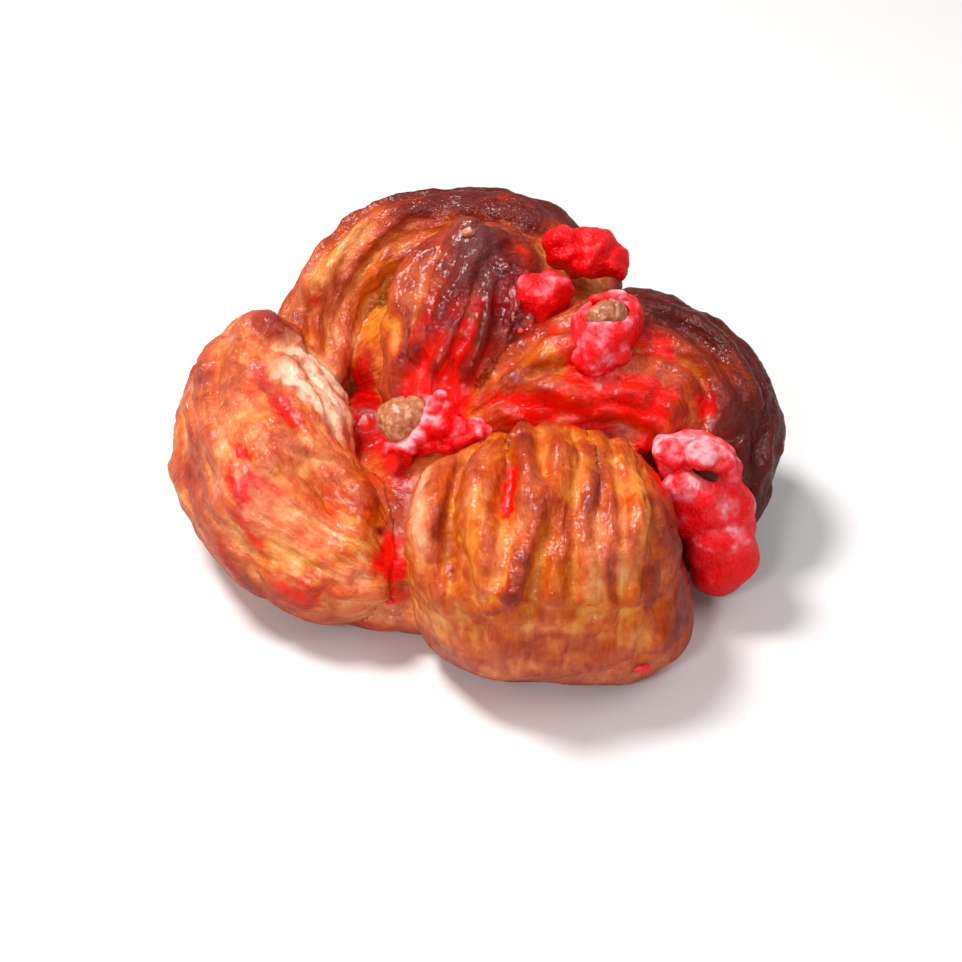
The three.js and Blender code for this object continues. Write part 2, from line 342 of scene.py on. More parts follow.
def loaf(name, spine, side, rise, full, edge=2.3, relief=None, press=None, across=False,
         rings=110, segments=150):
    bpy.ops.object.select_all(action="DESELECT")
    bpy.ops.mesh.primitive_uv_sphere_add(segments=segments, ring_count=rings, radius=1)
    obj = bpy.context.object
    obj.name = name
    ball = points_of(obj)
    z = np.clip(ball[:, 2], -1, 1)
    t = 0.5 * (1 - z) / 2 + 0.5 * np.arccos(z) / math.pi
    angle = np.arctan2(ball[:, 1], ball[:, 0])
    turn = np.mod(angle / (2 * math.pi) + 0.25, 1) - 0.25
    centre, forward = bezier(spine, t)
    right = np.cross(forward, [0, 0, 1])
    right /= np.linalg.norm(right, axis=1, keepdims=True)
    upward = np.cross(right, forward)
    shrink = (4 * t * (1 - t)).clip(0) ** (1 / full)
    width, height = along(side, t), along(rise, t)
    pleated = 1 + (relief(t, turn) if relief else 0) / np.sqrt(width * height)
    p = (centre + right * (width * shrink * pleated * squared(np.cos(angle), edge))[:, None]
         + upward * (height * shrink * pleated * squared(np.sin(angle), edge))[:, None])
    out = p - centre
    out /= np.linalg.norm(out, axis=1, keepdims=True) + 1e-9
    lumps = sum(h * swell(p, size, seed) for h, size, seed in (BIG_SWELL, SMALL_SWELL))
    p = p + out * (lumps * np.minimum(1, 2 * shrink))[:, None]
    if press:
        p = press_flat(p, **press)
    steps = np.linspace(0, 1, 60)
    length = np.linalg.norm(np.diff(bezier(spine, steps)[0], axis=0), axis=1).sum()
    girth = math.pi * (np.mean(side) + np.mean(rise))
    run, round_it = (turn * girth, t * length) if across else (t * length, turn * girth)
    other_dough = np.full(len(t), 40.0 * len(GUIDE))  # so that no two loaves share their wrinkles
    GUIDE.append((name, p, np.column_stack([run, round_it, other_dough]), t, turn))
    put_points(obj, to_scene(p))
    outward(obj)
    return obj


# %% [markdown]
# ## The knot
# Six turns of the strand show: a plump pillow on the left, a rim that stands up at the back
# round a bowl, a fold with a peak, a long turn that dives down on the right, and the widest one
# at the front with its hanging pleats. Three plain loaves fill the middle.

# %% Turns of the strand
FRONT_PLEATS = [
    dict(top=0.1, foot=0.08, start=0.2, end=0.62, depth=0.9, width=0.024),
    dict(top=0.27, foot=0.33, bow=-0.145, start=0.12, end=0.88, depth=4, width=0.036),
    dict(top=0.36, foot=0.32, start=0.06, end=0.64, depth=3.8, width=0.04),
    dict(top=0.43, foot=0.29, start=0.15, end=0.82, depth=-2, width=0.028),
    dict(top=0.44, foot=0.44, start=-0.08, end=0.28, depth=2.4, width=0.022),
    dict(top=0.5, foot=0.38, start=0.42, end=0.82, depth=3.2, width=0.03),
    dict(top=0.53, foot=0.53, start=0.2, end=0.78, depth=1.6, width=0.024),
    dict(top=0.58, foot=0.64, start=0.02, end=0.78, depth=2.2, width=0.026),
    dict(top=0.66, foot=0.71, start=0, end=0.82, depth=2.2, width=0.024),
    dict(top=0.75, foot=0.77, start=0.05, end=0.72, depth=1.4, width=0.022),
    dict(top=0.84, foot=0.86, start=0.2, end=0.95, depth=1.6, width=0.028),
]

turns = [
    loaf("middle", [(-46, -3, 4), (-3, 0, 14), (36, -1, 5)], (22, 31, 26), (10, 16, 11), 3.2),
    loaf("back_foot", [(-33, 20, 10), (-4, 42, 11), (26, 24, 10)], (15, 15, 15), (15, 15, 15), 2.8),
    loaf("right_foot", [(8, 29, 14), (28, 28, 18), (37, 4, 14)], (13, 14, 12), (14, 13, 13), 2.5),
    loaf("left_turn", [(-36, 27, 17), (-49, 8, 20), (-40, -18, 17), (-18, -25, 12)],
         (15, 16, 14), (16, 17, 14), 2.9,
         relief=lengthwise(draw_pleats(3, 8, 1.6, 0.022)),
         press=dict(on=(-32, 3, 32.2), facing=(0.66, 0.3, 0.69), soft=0.5)),
    loaf("back_rim", [(-32, 14, 16), (-38, 38, 31), (-5, 46, 44), (21, 31, 26)],
         (11, 9, 11), (14, 13, 14), 2.5, relief=lengthwise(draw_pleats(5, 7, 2.2, 0.022, slant=0.08))),
    loaf("bowl_floor", [(-26, 20, 18), (-6, 28, 33), (20, 27, 26)], (15, 15, 12), (12, 12, 14), 2.4),
    loaf("fold", [(6, 26, 36), (-3, 23, 54), (-8, 12, 41), (-13, -4, 18)],
         (8, 14, 11), (5, 8, 8), 2.6, edge=1.8,
         relief=lengthwise(draw_pleats(8, 6, 2.4, 0.024, 0.02, 0.48, 0.06, 0.15))),
    loaf("right_turn", [(-12, -3, 20), (12, 4, 37), (44, 20, 29), (35, -18, 6)],
         (11, 18, 13), (10, 17, 12), 2.5, relief=lengthwise(draw_pleats(11, 9, 2.2, 0.02, slant=0.05))),
    loaf("front_turn", [(-15, -27, 19), (9, -29, 20), (33, -26, 17)], (18, 20, 17), (22, 21, 21), 3.8,
         relief=hanging(FRONT_PLEATS, thick=1.4, hem=0.71, scallops=8, start=0.14, end=0.84),
         across=True, rings=170, segments=220),
]
print("loaves:", len(turns))


# %% [markdown]
# ## Pebbles
# Knobs of dough, sugared nuts and the nuts inside them are all lumpy pebbles. An icosphere has
# even triangles all over and no poles, so it is the better start for them.

# %% A pebble
def turned(points, degrees):
    x, y, z = (math.radians(d) for d in degrees)
    rx = np.array([[1, 0, 0], [0, math.cos(x), -math.sin(x)], [0, math.sin(x), math.cos(x)]])
    ry = np.array([[math.cos(y), 0, math.sin(y)], [0, 1, 0], [-math.sin(y), 0, math.cos(y)]])
    rz = np.array([[math.cos(z), -math.sin(z), 0], [math.sin(z), math.cos(z), 0], [0, 0, 1]])
    return points @ (rx @ ry @ rz).T


def pebble(name, at, half, turn=(0, 0, 0), lumps=0.6, size=6, seed=1, grow=0.0, finer=None, detail=6):
    bpy.ops.object.select_all(action="DESELECT")
    bpy.ops.mesh.primitive_ico_sphere_add(subdivisions=detail, radius=1)
    obj = bpy.context.object
    obj.name = name
    ball = points_of(obj)
    half = np.array(half, float)
    out = ball / half
    out /= np.linalg.norm(out, axis=1, keepdims=True)
    p = ball * half
    p = p + out * (grow + lumps * swell(p, size, seed))[:, None]
    if finer:
        p = p + out * finer(p)[:, None]
    put_points(obj, to_scene(turned(p, turn) + np.array(at)))
    return obj


knobs = [
    pebble("nub", (-33.2, 25.6, 33.8), (2.8, 3, 3.4), lumps=0.2, seed=41, detail=5),
    pebble("shoulder", (-41.8, 18.6, 29), (6.6, 5.2, 5.4), lumps=0.4, seed=42, detail=5),
    pebble("peak", (-4.9, 21.8, 47.6), (5, 5.6, 4.6), (-20, 0, 0), lumps=0.3, seed=43, detail=5),
]

# %% [markdown]
# ## One skin of dough
# The loaves are joined and wrapped in one skin by the Remesh modifier in voxel mode. It fuses
# what overlaps and leaves a soft crease where two turns meet, as baked dough has.

# %% Wrap the knot
def keep_outer_skin(obj):
    """Deletes closed bubbles inside: what is linked to the highest point stays."""
    active(obj)
    top = int(np.argmax(points_of(obj)[:, 2]))
    bpy.ops.object.mode_set(mode="EDIT")
    bpy.ops.mesh.select_all(action="DESELECT")
    bpy.ops.object.mode_set(mode="OBJECT")
    obj.data.vertices[top].select = True
    bpy.ops.object.mode_set(mode="EDIT")
    bpy.ops.mesh.select_linked()
    bpy.ops.mesh.select_all(action="INVERT")
    bpy.ops.mesh.delete(type="VERT")
    bpy.ops.object.mode_set(mode="OBJECT")


def cut_away(obj, cutter):
    apply(obj, "BOOLEAN", operation="DIFFERENCE", object=cutter, solver="MANIFOLD")
    bpy.data.objects.remove(cutter)


VOXEL = 0.46 * MM
CUTTER = 0.2  # side of the cube under the table, in metres
dough = joined(turns + knobs, "babka_dough")
apply(dough, "REMESH", mode="VOXEL", voxel_size=VOXEL, use_smooth_shade=True)
apply(dough, "SMOOTH", factor=0.5, iterations=3)
bpy.ops.object.select_all(action="DESELECT")
bpy.ops.mesh.primitive_cube_add(size=CUTTER, location=(0, 0, -CUTTER / 2))
cut_away(dough, bpy.context.object)
keep_outer_skin(dough)
print("skin:", len(dough.data.polygons), "faces")

# %% [markdown]
# ## Where on the strand?
# Wrinkles and fibres follow the strand, so every point of the skin has to know where it is on it:
# how far along, how far round, and on which turn. A k-d tree finds the nearest point of the
# loaves that were joined, and its strand coordinates are copied.

# %% Strand coordinates
guide_points = np.concatenate([g[1] for g in GUIDE])
guide_strand = np.concatenate([g[2] for g in GUIDE])
guide_turn = np.concatenate([np.full(len(g[1]), i) for i, g in enumerate(GUIDE)])
guide_part = np.concatenate([np.column_stack(g[3:]) for g in GUIDE])
guide_tree = KDTree(len(guide_points))
for i, point in enumerate(guide_points.tolist()):
    guide_tree.insert(point, i)
guide_tree.balance()


def strand_of(p):
    """For points in mm: strand coordinates in mm, the turn, and the parts of its length and girth."""
    near = np.array([guide_tree.find(point)[1] for point in p.tolist()])
    return guide_strand[near], guide_turn[near], guide_part[near]


def per_turn(which, other=0.0, **values):
    """One value for each point, given by the name of its turn."""
    return np.array([values.get(g[0], other) for g in GUIDE])[which]


# %% [markdown]
# ## Marks seen from the camera
# Creases, ridges and stains are traced: each is a short line of places in the picture. A
# ray from the camera through such a place hits the skin, and the mark is laid on the skin there.
# It is the same as drawing on the bun with a brush, and it can be checked against the picture.

# %% The brush
def ray_tree(obj):
    """What rays can hit: the object's faces, as they are now."""
    return BVHTree.FromPolygons([v.co for v in obj.data.vertices],
                                [tuple(f.vertices) for f in obj.data.polygons])


skin_tree = ray_tree(dough)


def hit(px, py):
    """The point of the skin in mm, and its normal, that shows at a place in the picture."""
    ray = RIGHT * (px - FRAME_PX / 2) + ABOVE * (FRAME_PX / 2 - py) - BACK * FOCAL_PX
    place, normal, _, _ = skin_tree.ray_cast(Vector(to_scene(EYE)), Vector(ray).normalized())
    return None if place is None else (to_knot(place), np.array(normal))


def smooth_path(path, gap=3.0):
    """A soft curve through places in the picture, with a point every few pixels."""
    p = np.array(path, float)
    if len(p) == 1:
        return p
    ends = np.vstack([2 * p[0] - p[1], p, 2 * p[-1] - p[-2]])
    out = []
    for a, b, c, d in zip(ends, ends[1:], ends[2:], ends[3:]):
        for s in np.arange(0, 1, gap / max(gap, np.linalg.norm(c - b))):
            out.append(0.5 * (2 * b + (c - a) * s + (2 * a - 5 * b + 4 * c - d) * s * s
                              + (3 * b - a - 3 * c + d) * s ** 3))
    return np.array(out + [p[-1]])


LAID = {}


def lay(path):
    """Where a traced line lies on the skin: points, normals and how far along each one is."""
    key = tuple(path)
    if key not in LAID:
        places = smooth_path(path)
        found = [(hit(*place), i / max(1, len(places) - 1)) for i, place in enumerate(places)]
        LAID[key] = [np.array(part) for part in zip(*[(h[0], h[1], s) for h, s in found if h])]
    return LAID[key]


def near_mark(p, normals, path, reach):
    """Which points are near a mark, how far off they are, and how strongly it takes there."""
    if not lay(path):
        return [], 0, 0
    on, facing, s = lay(path)
    ids = np.nonzero(np.all((p > on.min(0) - reach) & (p < on.max(0) + reach), axis=1))[0]
    gaps = np.linalg.norm(p[ids][:, None] - on[None], axis=2)
    if not len(ids):
        return ids, 0, 0
    best = gaps.argmin(1)
    same_side = ease((np.einsum("ij,ij->i", normals[ids], facing[best]) + 0.2) / 0.5)
    ends = 1.0 if len(path) == 1 else ease((s[best] + 0.12) / 0.3) * ease((1.12 - s[best]) / 0.3)
    return ids, gaps[np.arange(len(ids)), best], same_side * ends


def relief_of(p, normals, marks):
    """Height in mm that traced ridges (over 0) and creases (under 0) add to the skin."""
    total = np.zeros(len(p))
    for path, width, height in marks:
        ids, gap, takes = near_mark(p, normals, path, 3 * width)
        if len(ids):
            total[ids] += height * np.exp(-(gap / width) ** 2) * takes
    return total


def stain_of(p, normals, marks, wobble=0.35, seed=50):
    """How strongly traced stains cover the skin, 0 to 1, with uneven edges."""
    clear = np.ones(len(p))
    for path, width, strength in marks:
        ids, gap, takes = near_mark(p, normals, path, 2.4 * width)
        if len(ids):
            rel = gap / width + wobble * layered(p[ids], max(1.2, 0.8 * width), seed)
            clear[ids] *= 1 - strength * (1 - ease((rel - 0.3) / 1.2)) * takes
    return 1 - clear


# %% [markdown]
# ## Creases and ridges
# The pleats of the loaves give the broad form. These marks add what the eye follows: the deep
# folds of the front turn, the torn edge on the left and the thin parallel ridges on the right.

# %% Traced relief
RIDGES_FRONT = [
    ([(496, 440), (516, 446)], 4.0, 1.3), ([(548, 446), (575, 452)], 4.0, 1.0),
    ([(541, 424), (543, 450), (549, 478)], 1.5, -1.4), ([(484, 445), (480, 470)], 1.3, -0.8),
    ([(600, 440), (612, 460)], 2.6, 0.7), ([(520, 480), (540, 500)], 2.4, 0.7),
    ([(560, 500), (550, 540)], 2.4, -0.6), ([(600, 500), (606, 540)], 1.8, -0.5),
    ([(459, 470), (450, 500), (444, 532), (450, 566), (464, 602), (480, 622)], 1.3, -1.0),
    ([(450, 472), (440, 505), (434, 535), (440, 575), (452, 606)], 1.8, 0.5),
    ([(477, 455), (476, 490), (474, 522)], 1.5, 0.7),
    ([(466, 505), (463, 560), (474, 598)], 1.6, -0.4),
    ([(512, 462), (508, 490), (505, 522)], 2.0, -0.7),
    ([(526, 458), (530, 480), (524, 510)], 1.3, 0.6),
    ([(546, 492), (532, 532), (520, 570), (509, 606)], 2.2, 1.8),
    ([(516, 528), (503, 560), (494, 592)], 2.2, -1.6), ([(540, 540), (532, 572), (526, 600)], 1.6, -0.9),
    ([(452, 530), (462, 575), (480, 612)], 2.4, -1.2), ([(494, 526), (486, 565), (482, 600)], 1.8, 0.8),
    ([(541, 566), (530, 602)], 1.2, -0.8),
    ([(556, 553), (552, 602)], 1.4, 0.8),
    ([(568, 560), (573, 606)], 1.0, -0.7),
    ([(569, 513), (568, 533)], 0.6, -0.6),
    ([(588, 548), (592, 606)], 1.3, 0.6),
    ([(611, 560), (614, 606)], 1.1, -0.7),
    ([(583, 448), (597, 468), (590, 506)], 1.6, 0.8),
    ([(572, 462), (578, 490), (574, 512)], 1.2, -0.6),
    ([(556, 446), (566, 470)], 2.2, 0.5),
    ([(632, 470), (640, 520), (636, 575)], 2.0, 0.6),
    ([(622, 480), (626, 540), (622, 600)], 1.0, -0.8),
    ([(652, 500), (664, 560), (660, 610)], 1.2, -0.5),
    ([(481, 624), (510, 613), (545, 609), (580, 613), (615, 615), (650, 606), (672, 596)], 1.2, -0.6),
    ([(470, 634), (487, 627), (505, 614)], 1.0, -0.6),
    ([(520, 650), (560, 640), (600, 652)], 2.5, -0.5),
    ([(682, 520), (686, 560), (676, 600)], 1.2, 0.4),
]
RIDGES_LEFT = [
    ([(286, 336), (322, 354), (355, 385)], 0.9, 0.5),
    ([(269, 366), (297, 381), (314, 419), (347, 440)], 1.0, -0.5),
    ([(300, 375), (316, 384), (331, 397)], 0.4, -0.4),
    ([(296, 392), (318, 402)], 0.4, -0.3),
    ([(262, 437), (284, 436), (300, 446), (330, 455), (360, 461)], 1.0, 0.5),
    ([(266, 445), (300, 455), (335, 464)], 0.9, -0.5),
    ([(247, 364), (267, 383), (281, 403), (294, 419)], 1.8, -0.5),
    ([(231, 450), (247, 456)], 2.0, -0.5),
    ([(194, 383), (192, 444), (214, 490), (231, 528), (253, 567)], 1.6, -0.5),
    ([(258, 575), (290, 590), (318, 585)], 3.0, 0.6),
    ([(240, 560), (262, 585), (268, 605)], 1.2, -0.7),
    ([(222, 500), (250, 530), (285, 560)], 0.9, 0.4),
    ([(235, 490), (268, 520), (300, 548)], 0.9, 0.4),
    ([(250, 470), (290, 500), (330, 525)], 0.9, 0.35),
    ([(280, 470), (320, 490), (355, 510)], 0.9, 0.35),
    ([(300, 560), (330, 560), (350, 545)], 0.9, 0.3),
    ([(238, 336), (262, 345), (284, 340)], 1.2, -0.5),
    ([(360, 480), (372, 510)], 3.0, 0.8),
    ([(355, 590), (385, 600)], 3.0, 1.2),
    ([(319, 610), (326, 596), (336, 584)], 1.5, -2.0), ([(344, 574), (362, 552)], 2.6, -0.7),
    ([(335, 596), (360, 588), (392, 592)], 1.0, 0.8), ([(340, 606), (372, 604), (402, 614)], 1.0, -0.8),
    ([(352, 578), (368, 580)], 0.8, -0.7), ([(264, 438), (283, 434)], 0.8, 1.0),
]
RIDGES_BACK = [
    ([(338, 318), (345, 285), (372, 240), (398, 220)], 1.3, 0.6),
    ([(352, 322), (360, 285), (382, 250), (410, 225), (450, 210)], 1.3, -0.6),
    ([(372, 306), (383, 262), (415, 230), (460, 214)], 1.4, 0.5),
    ([(325, 322), (333, 286), (355, 245), (375, 220)], 1.2, -0.5),
    ([(388, 330), (384, 290), (396, 250), (430, 226)], 1.2, -0.7),
    ([(401, 267), (397, 299), (408, 333), (390, 372)], 1.2, 0.8),
    ([(448, 286), (427, 333), (396, 378)], 1.3, 0.8),
    ([(455, 300), (440, 335), (414, 378)], 1.2, -0.8),
    ([(474, 286), (453, 333), (432, 375)], 1.3, 0.8),
    ([(482, 300), (466, 340), (448, 380)], 1.2, -0.8),
    ([(490, 293), (480, 338), (464, 375)], 1.2, 0.7),
    ([(502, 300), (496, 340), (482, 372)], 1.4, -0.8),
    ([(464, 221), (475, 228)], 2.2, 1.0),
    ([(508, 266), (507, 290), (505, 318)], 3.6, -1.2),
    ([(420, 265)], 3.0, -0.4),
    ([(430, 290)], 2.0, -0.4),
]
RIDGES_RIGHT = [
    ([(640, 300), (700, 322), (745, 365), (765, 420), (770, 480)], 1.0, 0.5),
    ([(632, 310), (690, 332), (732, 375), (752, 425), (758, 480)], 1.0, -0.5),
    ([(655, 290), (712, 312), (756, 352), (776, 410), (778, 460)], 0.9, -0.5),
    ([(628, 320), (680, 342), (720, 382), (740, 430)], 1.0, 0.4),
    ([(700, 400), (722, 430), (738, 470)], 1.0, -0.4),
    ([(655, 365), (680, 375), (700, 392)], 1.5, 0.6),
    ([(636, 360)], 2.0, 0.5),
    ([(610, 370), (650, 385), (690, 400)], 1.2, -0.6),
    ([(505, 385), (560, 392), (612, 412)], 1.2, 0.7),
    ([(500, 400), (555, 410), (600, 425)], 1.1, -0.7),
    ([(490, 408), (540, 425), (580, 432)], 1.1, 0.6),
    ([(520, 368), (560, 372), (600, 385)], 1.2, -0.6),
    ([(510, 350), (545, 340), (575, 340)], 1.5, 0.6),
]

MELTED = [  # where turns run into each other without a crease
    ([(376, 462), (388, 490), (393, 520), (393, 545)], 4.0, 1.0),
    ([(640, 480), (646, 520), (650, 560)], 3.0, 1.0),
    ([(516, 262), (514, 290), (512, 330)], 3.5, 1.0), ([(490, 442), (506, 450), (526, 452)], 5.0, 0.8),
    ([(548, 442), (578, 450)], 5.0, 0.8), ([(428, 466), (420, 510), (424, 556)], 4.0, 0.8),
]
print("marks:", len(RIDGES_FRONT + RIDGES_LEFT + RIDGES_BACK + RIDGES_RIGHT + MELTED))

# %% [markdown]
# ## From marks to skin
# In the oven the turns melt into each other here and there, and the crust wrinkles as it dries. A
# sculpt brush could do both, but nobody could repeat it. Here every point of the skin is moved:
# the right end of the front turn is tucked in, then the melted places are averaged with their
# neighbours, and last the marks and wrinkles are raised along the normals.

# %% Neighbours on the skin
def soften(obj, values, times):
    """Values averaged with those of the neighbouring points, again and again."""
    ends = np.empty(2 * len(obj.data.edges), np.int32)
    obj.data.edges.foreach_get("vertices", ends)
    a, b = ends.reshape(-1, 2).T
    count = np.bincount(a, minlength=len(values)) + np.bincount(b, minlength=len(values)) + 1.0
    flat = values.reshape(len(values), -1).astype(float)
    for _ in range(times):
        flat = np.column_stack([
            (col + np.bincount(a, col[b], len(col)) + np.bincount(b, col[a], len(col))) / count
            for col in flat.T])
    return flat.reshape(values.shape)


def hollow(obj, times):
    """How deep each point lies under its surroundings, in mm; under 0 on ridges."""
    p = to_knot(points_of(obj))
    return np.einsum("ij,ij->i", soften(obj, p, times) - p, normals_of(obj))


# %% Raise the relief
TUCK = 4.0  # mm
TUCK_ROUNDS, MELT_ROUNDS = 25, 45  # how often values are averaged with their neighbours
DOUGH_TRIANGLES = 192000
points = to_knot(points_of(dough))
strand, which, part = strand_of(points)
x, _, z = points.T
tucked = per_turn(which, front_turn=1.0) * ease((x - 19) / 12) * ease((z - 11) / 12) * TUCK
points[:, 0] -= soften(dough, tucked, TUCK_ROUNDS)
put_points(dough, to_scene(points))
melt = stain_of(points, normals_of(dough), MELTED, wobble=0.1)[:, None]
points += melt * (soften(dough, points, MELT_ROUNDS) - points)
put_points(dough, to_scene(points))
skin_tree = ray_tree(dough)
normals = normals_of(dough)
pleated = per_turn(which, 0.3, left_turn=0.7, back_rim=0.4, fold=0.6, right_turn=0.7, front_turn=0.7)
wrinkled = per_turn(which, 0.1, left_turn=0.5, fold=0.2, right_turn=0.25, front_turn=0.3)
calm = 1 - 0.7 * ease((0.35 - normals[:, 2]) / 0.4) * ease((16 - points[:, 2]) / 8)
patchy = calm * (0.65 + 0.5 * layered(points, 9.0, 7))
relief = relief_of(points, normals, RIDGES_FRONT + RIDGES_LEFT + RIDGES_BACK + RIDGES_RIGHT)
relief += pleated * patchy * layered(strand, (14.0, 4.4, 5.0), 3)
relief += wrinkled * patchy * 0.7 * layered(strand, (5.0, 2.0, 5.0), 5, 2)
relief += calm * (0.45 * layered(points, 5.0, 11) + 0.07 * layered(points, 2.0, 13, 2))
relief *= ease(points[:, 2] / 1.5)
put_points(dough, to_scene(points + normals * relief[:, None]))
triangles = sum(len(f.vertices) - 2 for f in dough.data.polygons)
apply(dough, "DECIMATE", ratio=min(1.0, DOUGH_TRIANGLES / triangles))
print("dough:", len(dough.data.polygons), "faces")


# %% [markdown]
# ## Bake, syrup and gloss
# The colour of the crust is not painted directly. Each point keeps a few numbers from 0 to 1: how
# dark it is baked, with painted shade in a few recesses and painted highlights on some ridges
# mixed in, how much red syrup lies on it, where the crumb is torn open, where the skin is a dull
# pink-brown, where it is grey-purple, partly as a painted sheen, and how wet it is. The material
# turns them into colours and gloss.

# %% Traced stains
SYRUP = [
    ([(514, 462), (510, 490), (507, 518)], 2.0, 0.92), ([(403, 480), (400, 520)], 1.5, 0.35),
    ([(430, 592)], 1.2, 0.35), ([(590, 607)], 0.8, 0.5), ([(470, 438), (500, 430)], 1.6, 0.6),
    ([(374, 572), (384, 556), (395, 534)], 2.2, 1.0), ([(380, 574), (394, 572), (399, 556)], 2.0, 1.0),
    ([(386, 588), (400, 596)], 1.6, 0.7),
    ([(250, 362), (267, 385), (281, 403)], 1.5, 0.7), ([(276, 396), (288, 412), (300, 426)], 2.6, 0.85),
    ([(232, 444), (243, 452), (254, 459)], 1.1, 0.9), ([(234, 457), (248, 449)], 0.9, 0.7),
    ([(226, 470), (236, 486), (246, 504)], 1.3, 0.95), ([(252, 468), (245, 486), (240, 502)], 1.1, 0.8),
    ([(238, 470), (264, 484), (288, 494)], 1.0, 0.6), ([(232, 508), (248, 532), (268, 556)], 1.2, 0.8),
    ([(214, 541), (230, 566), (247, 589)], 1.2, 0.7), ([(268, 576), (290, 592), (310, 598)], 2.4, 0.6),
    ([(318, 466), (334, 474)], 1.0, 0.5), ([(280, 520), (310, 545), (330, 560)], 1.2, 0.45),
    ([(280, 596), (300, 600), (318, 588)], 3.5, 0.55), ([(266, 510), (280, 530)], 2.0, 0.3),
    ([(256, 316), (276, 322)], 1.6, 0.5), ([(345, 445), (365, 470), (385, 490)], 2.6, 0.5),
    ([(362, 350), (362, 390), (366, 430), (370, 452)], 3.0, 0.95), ([(392, 465), (404, 490)], 1.8, 0.6),
    ([(345, 350), (352, 372)], 1.6, 0.5), ([(388, 570), (405, 605)], 2.0, 0.4),
    ([(395, 378), (430, 388), (470, 388)], 6.0, 0.85), ([(410, 350), (440, 345), (480, 345)], 4.0, 0.75),
    ([(500, 330), (516, 290), (528, 262)], 5.0, 0.9), ([(314, 301)], 1.2, 0.7),
    ([(515, 250), (535, 262)], 4.0, 0.6), ([(455, 290), (450, 330)], 5.0, 0.7),
    ([(480, 395), (520, 402), (560, 402)], 2.0, 0.7),
    ([(500, 412), (540, 408), (600, 402), (650, 412), (668, 430)], 3.6, 1.0),
    ([(600, 395), (640, 395), (676, 410)], 4.0, 0.9), ([(632, 330), (660, 345), (650, 358)], 3.4, 0.85),
    ([(600, 378), (560, 376)], 2.0, 0.7), ([(560, 330), (585, 372), (625, 370)], 2.2, 0.8),
    ([(520, 330), (560, 330)], 2.0, 0.6), ([(694, 408), (722, 400)], 3.0, 0.8),
    ([(640, 430), (652, 470), (668, 500)], 1.8, 0.9), ([(380, 430), (392, 458), (412, 466)], 2.4, 0.95),
    ([(440, 436), (480, 436)], 2.5, 0.8), ([(500, 420), (560, 424), (625, 430)], 1.8, 0.8),
    ([(480, 352), (470, 385)], 2.0, 0.5), ([(440, 400), (470, 410)], 3.0, 0.8), ([(639, 670)], 1.3, 0.7),
]
# Dark marks are mostly crust baked dark: the top of the rim, the peak, the right turn and some ridge ends.
# Those in the small hole by the red wedge low on the left, in the deep recess right of the fold and along the
# first groove of the front turn are painted shade. The one on the far right side of the front turn is partly
# baked dark and partly painted shade.
DARK_AND_SHADE = [
    ([(392, 214), (440, 203), (509, 209), (550, 230)], 3.0, 0.8),
    ([(469, 228), (478, 250), (482, 290)], 5.0, 0.85), ([(455, 250), (448, 300), (440, 330)], 3.0, 0.55),
    ([(500, 250), (512, 280), (500, 330)], 4.5, 0.85), ([(314, 293)], 2.2, 1.0),
    ([(715, 370), (745, 420), (750, 470)], 4.5, 0.6), ([(500, 300), (480, 345), (455, 375)], 3.0, 0.4),
    ([(524, 550), (508, 604)], 1.9, 0.75), ([(444, 525), (452, 575), (475, 618)], 1.0, 0.6),
    ([(583, 448), (598, 469), (588, 510)], 1.6, 0.5), ([(569, 513), (568, 533)], 0.5, 0.9),
    ([(612, 557), (615, 606)], 1.0, 0.5), ([(668, 500), (684, 570), (684, 640)], 5.0, 0.6),
    ([(640, 300), (690, 312), (735, 350)], 4.0, 0.8),
    ([(650, 560), (655, 605)], 3.5, 0.55), ([(487, 440), (510, 430), (535, 440)], 2.4, 0.3),
    ([(457, 465), (448, 500), (443, 530)], 1.0, 0.45), ([(477, 628), (503, 613)], 1.2, 0.45),
    ([(250, 320), (285, 320)], 3.5, 0.4), ([(381, 531)], 0.9, 0.9), ([(240, 575), (262, 602)], 2.2, 0.5),
    ([(197, 360), (200, 385)], 2.0, 0.3), ([(505, 320), (540, 345)], 3.0, 0.35),
    ([(520, 650), (560, 642), (600, 652)], 2.4, 0.25), ([(204, 366), (222, 394)], 5.0, 0.2),
    ([(422, 262), (428, 280)], 4.0, 0.3),
    ([(399, 470), (397, 530)], 2.0, 0.3),
    ([(362, 350), (364, 400), (372, 452)], 3.0, 0.5), ([(655, 370), (680, 384)], 4.0, 0.2),
    ([(196, 410), (193, 460), (206, 520), (232, 575)], 3.6, 0.35), ([(350, 488), (376, 516)], 5.0, 0.25),
    ([(550, 495), (562, 540)], 4.5, 0.35), ([(440, 500), (436, 540)], 1.6, 0.3),
    ([(440, 650), (455, 665)], 2.0, 0.35),
]
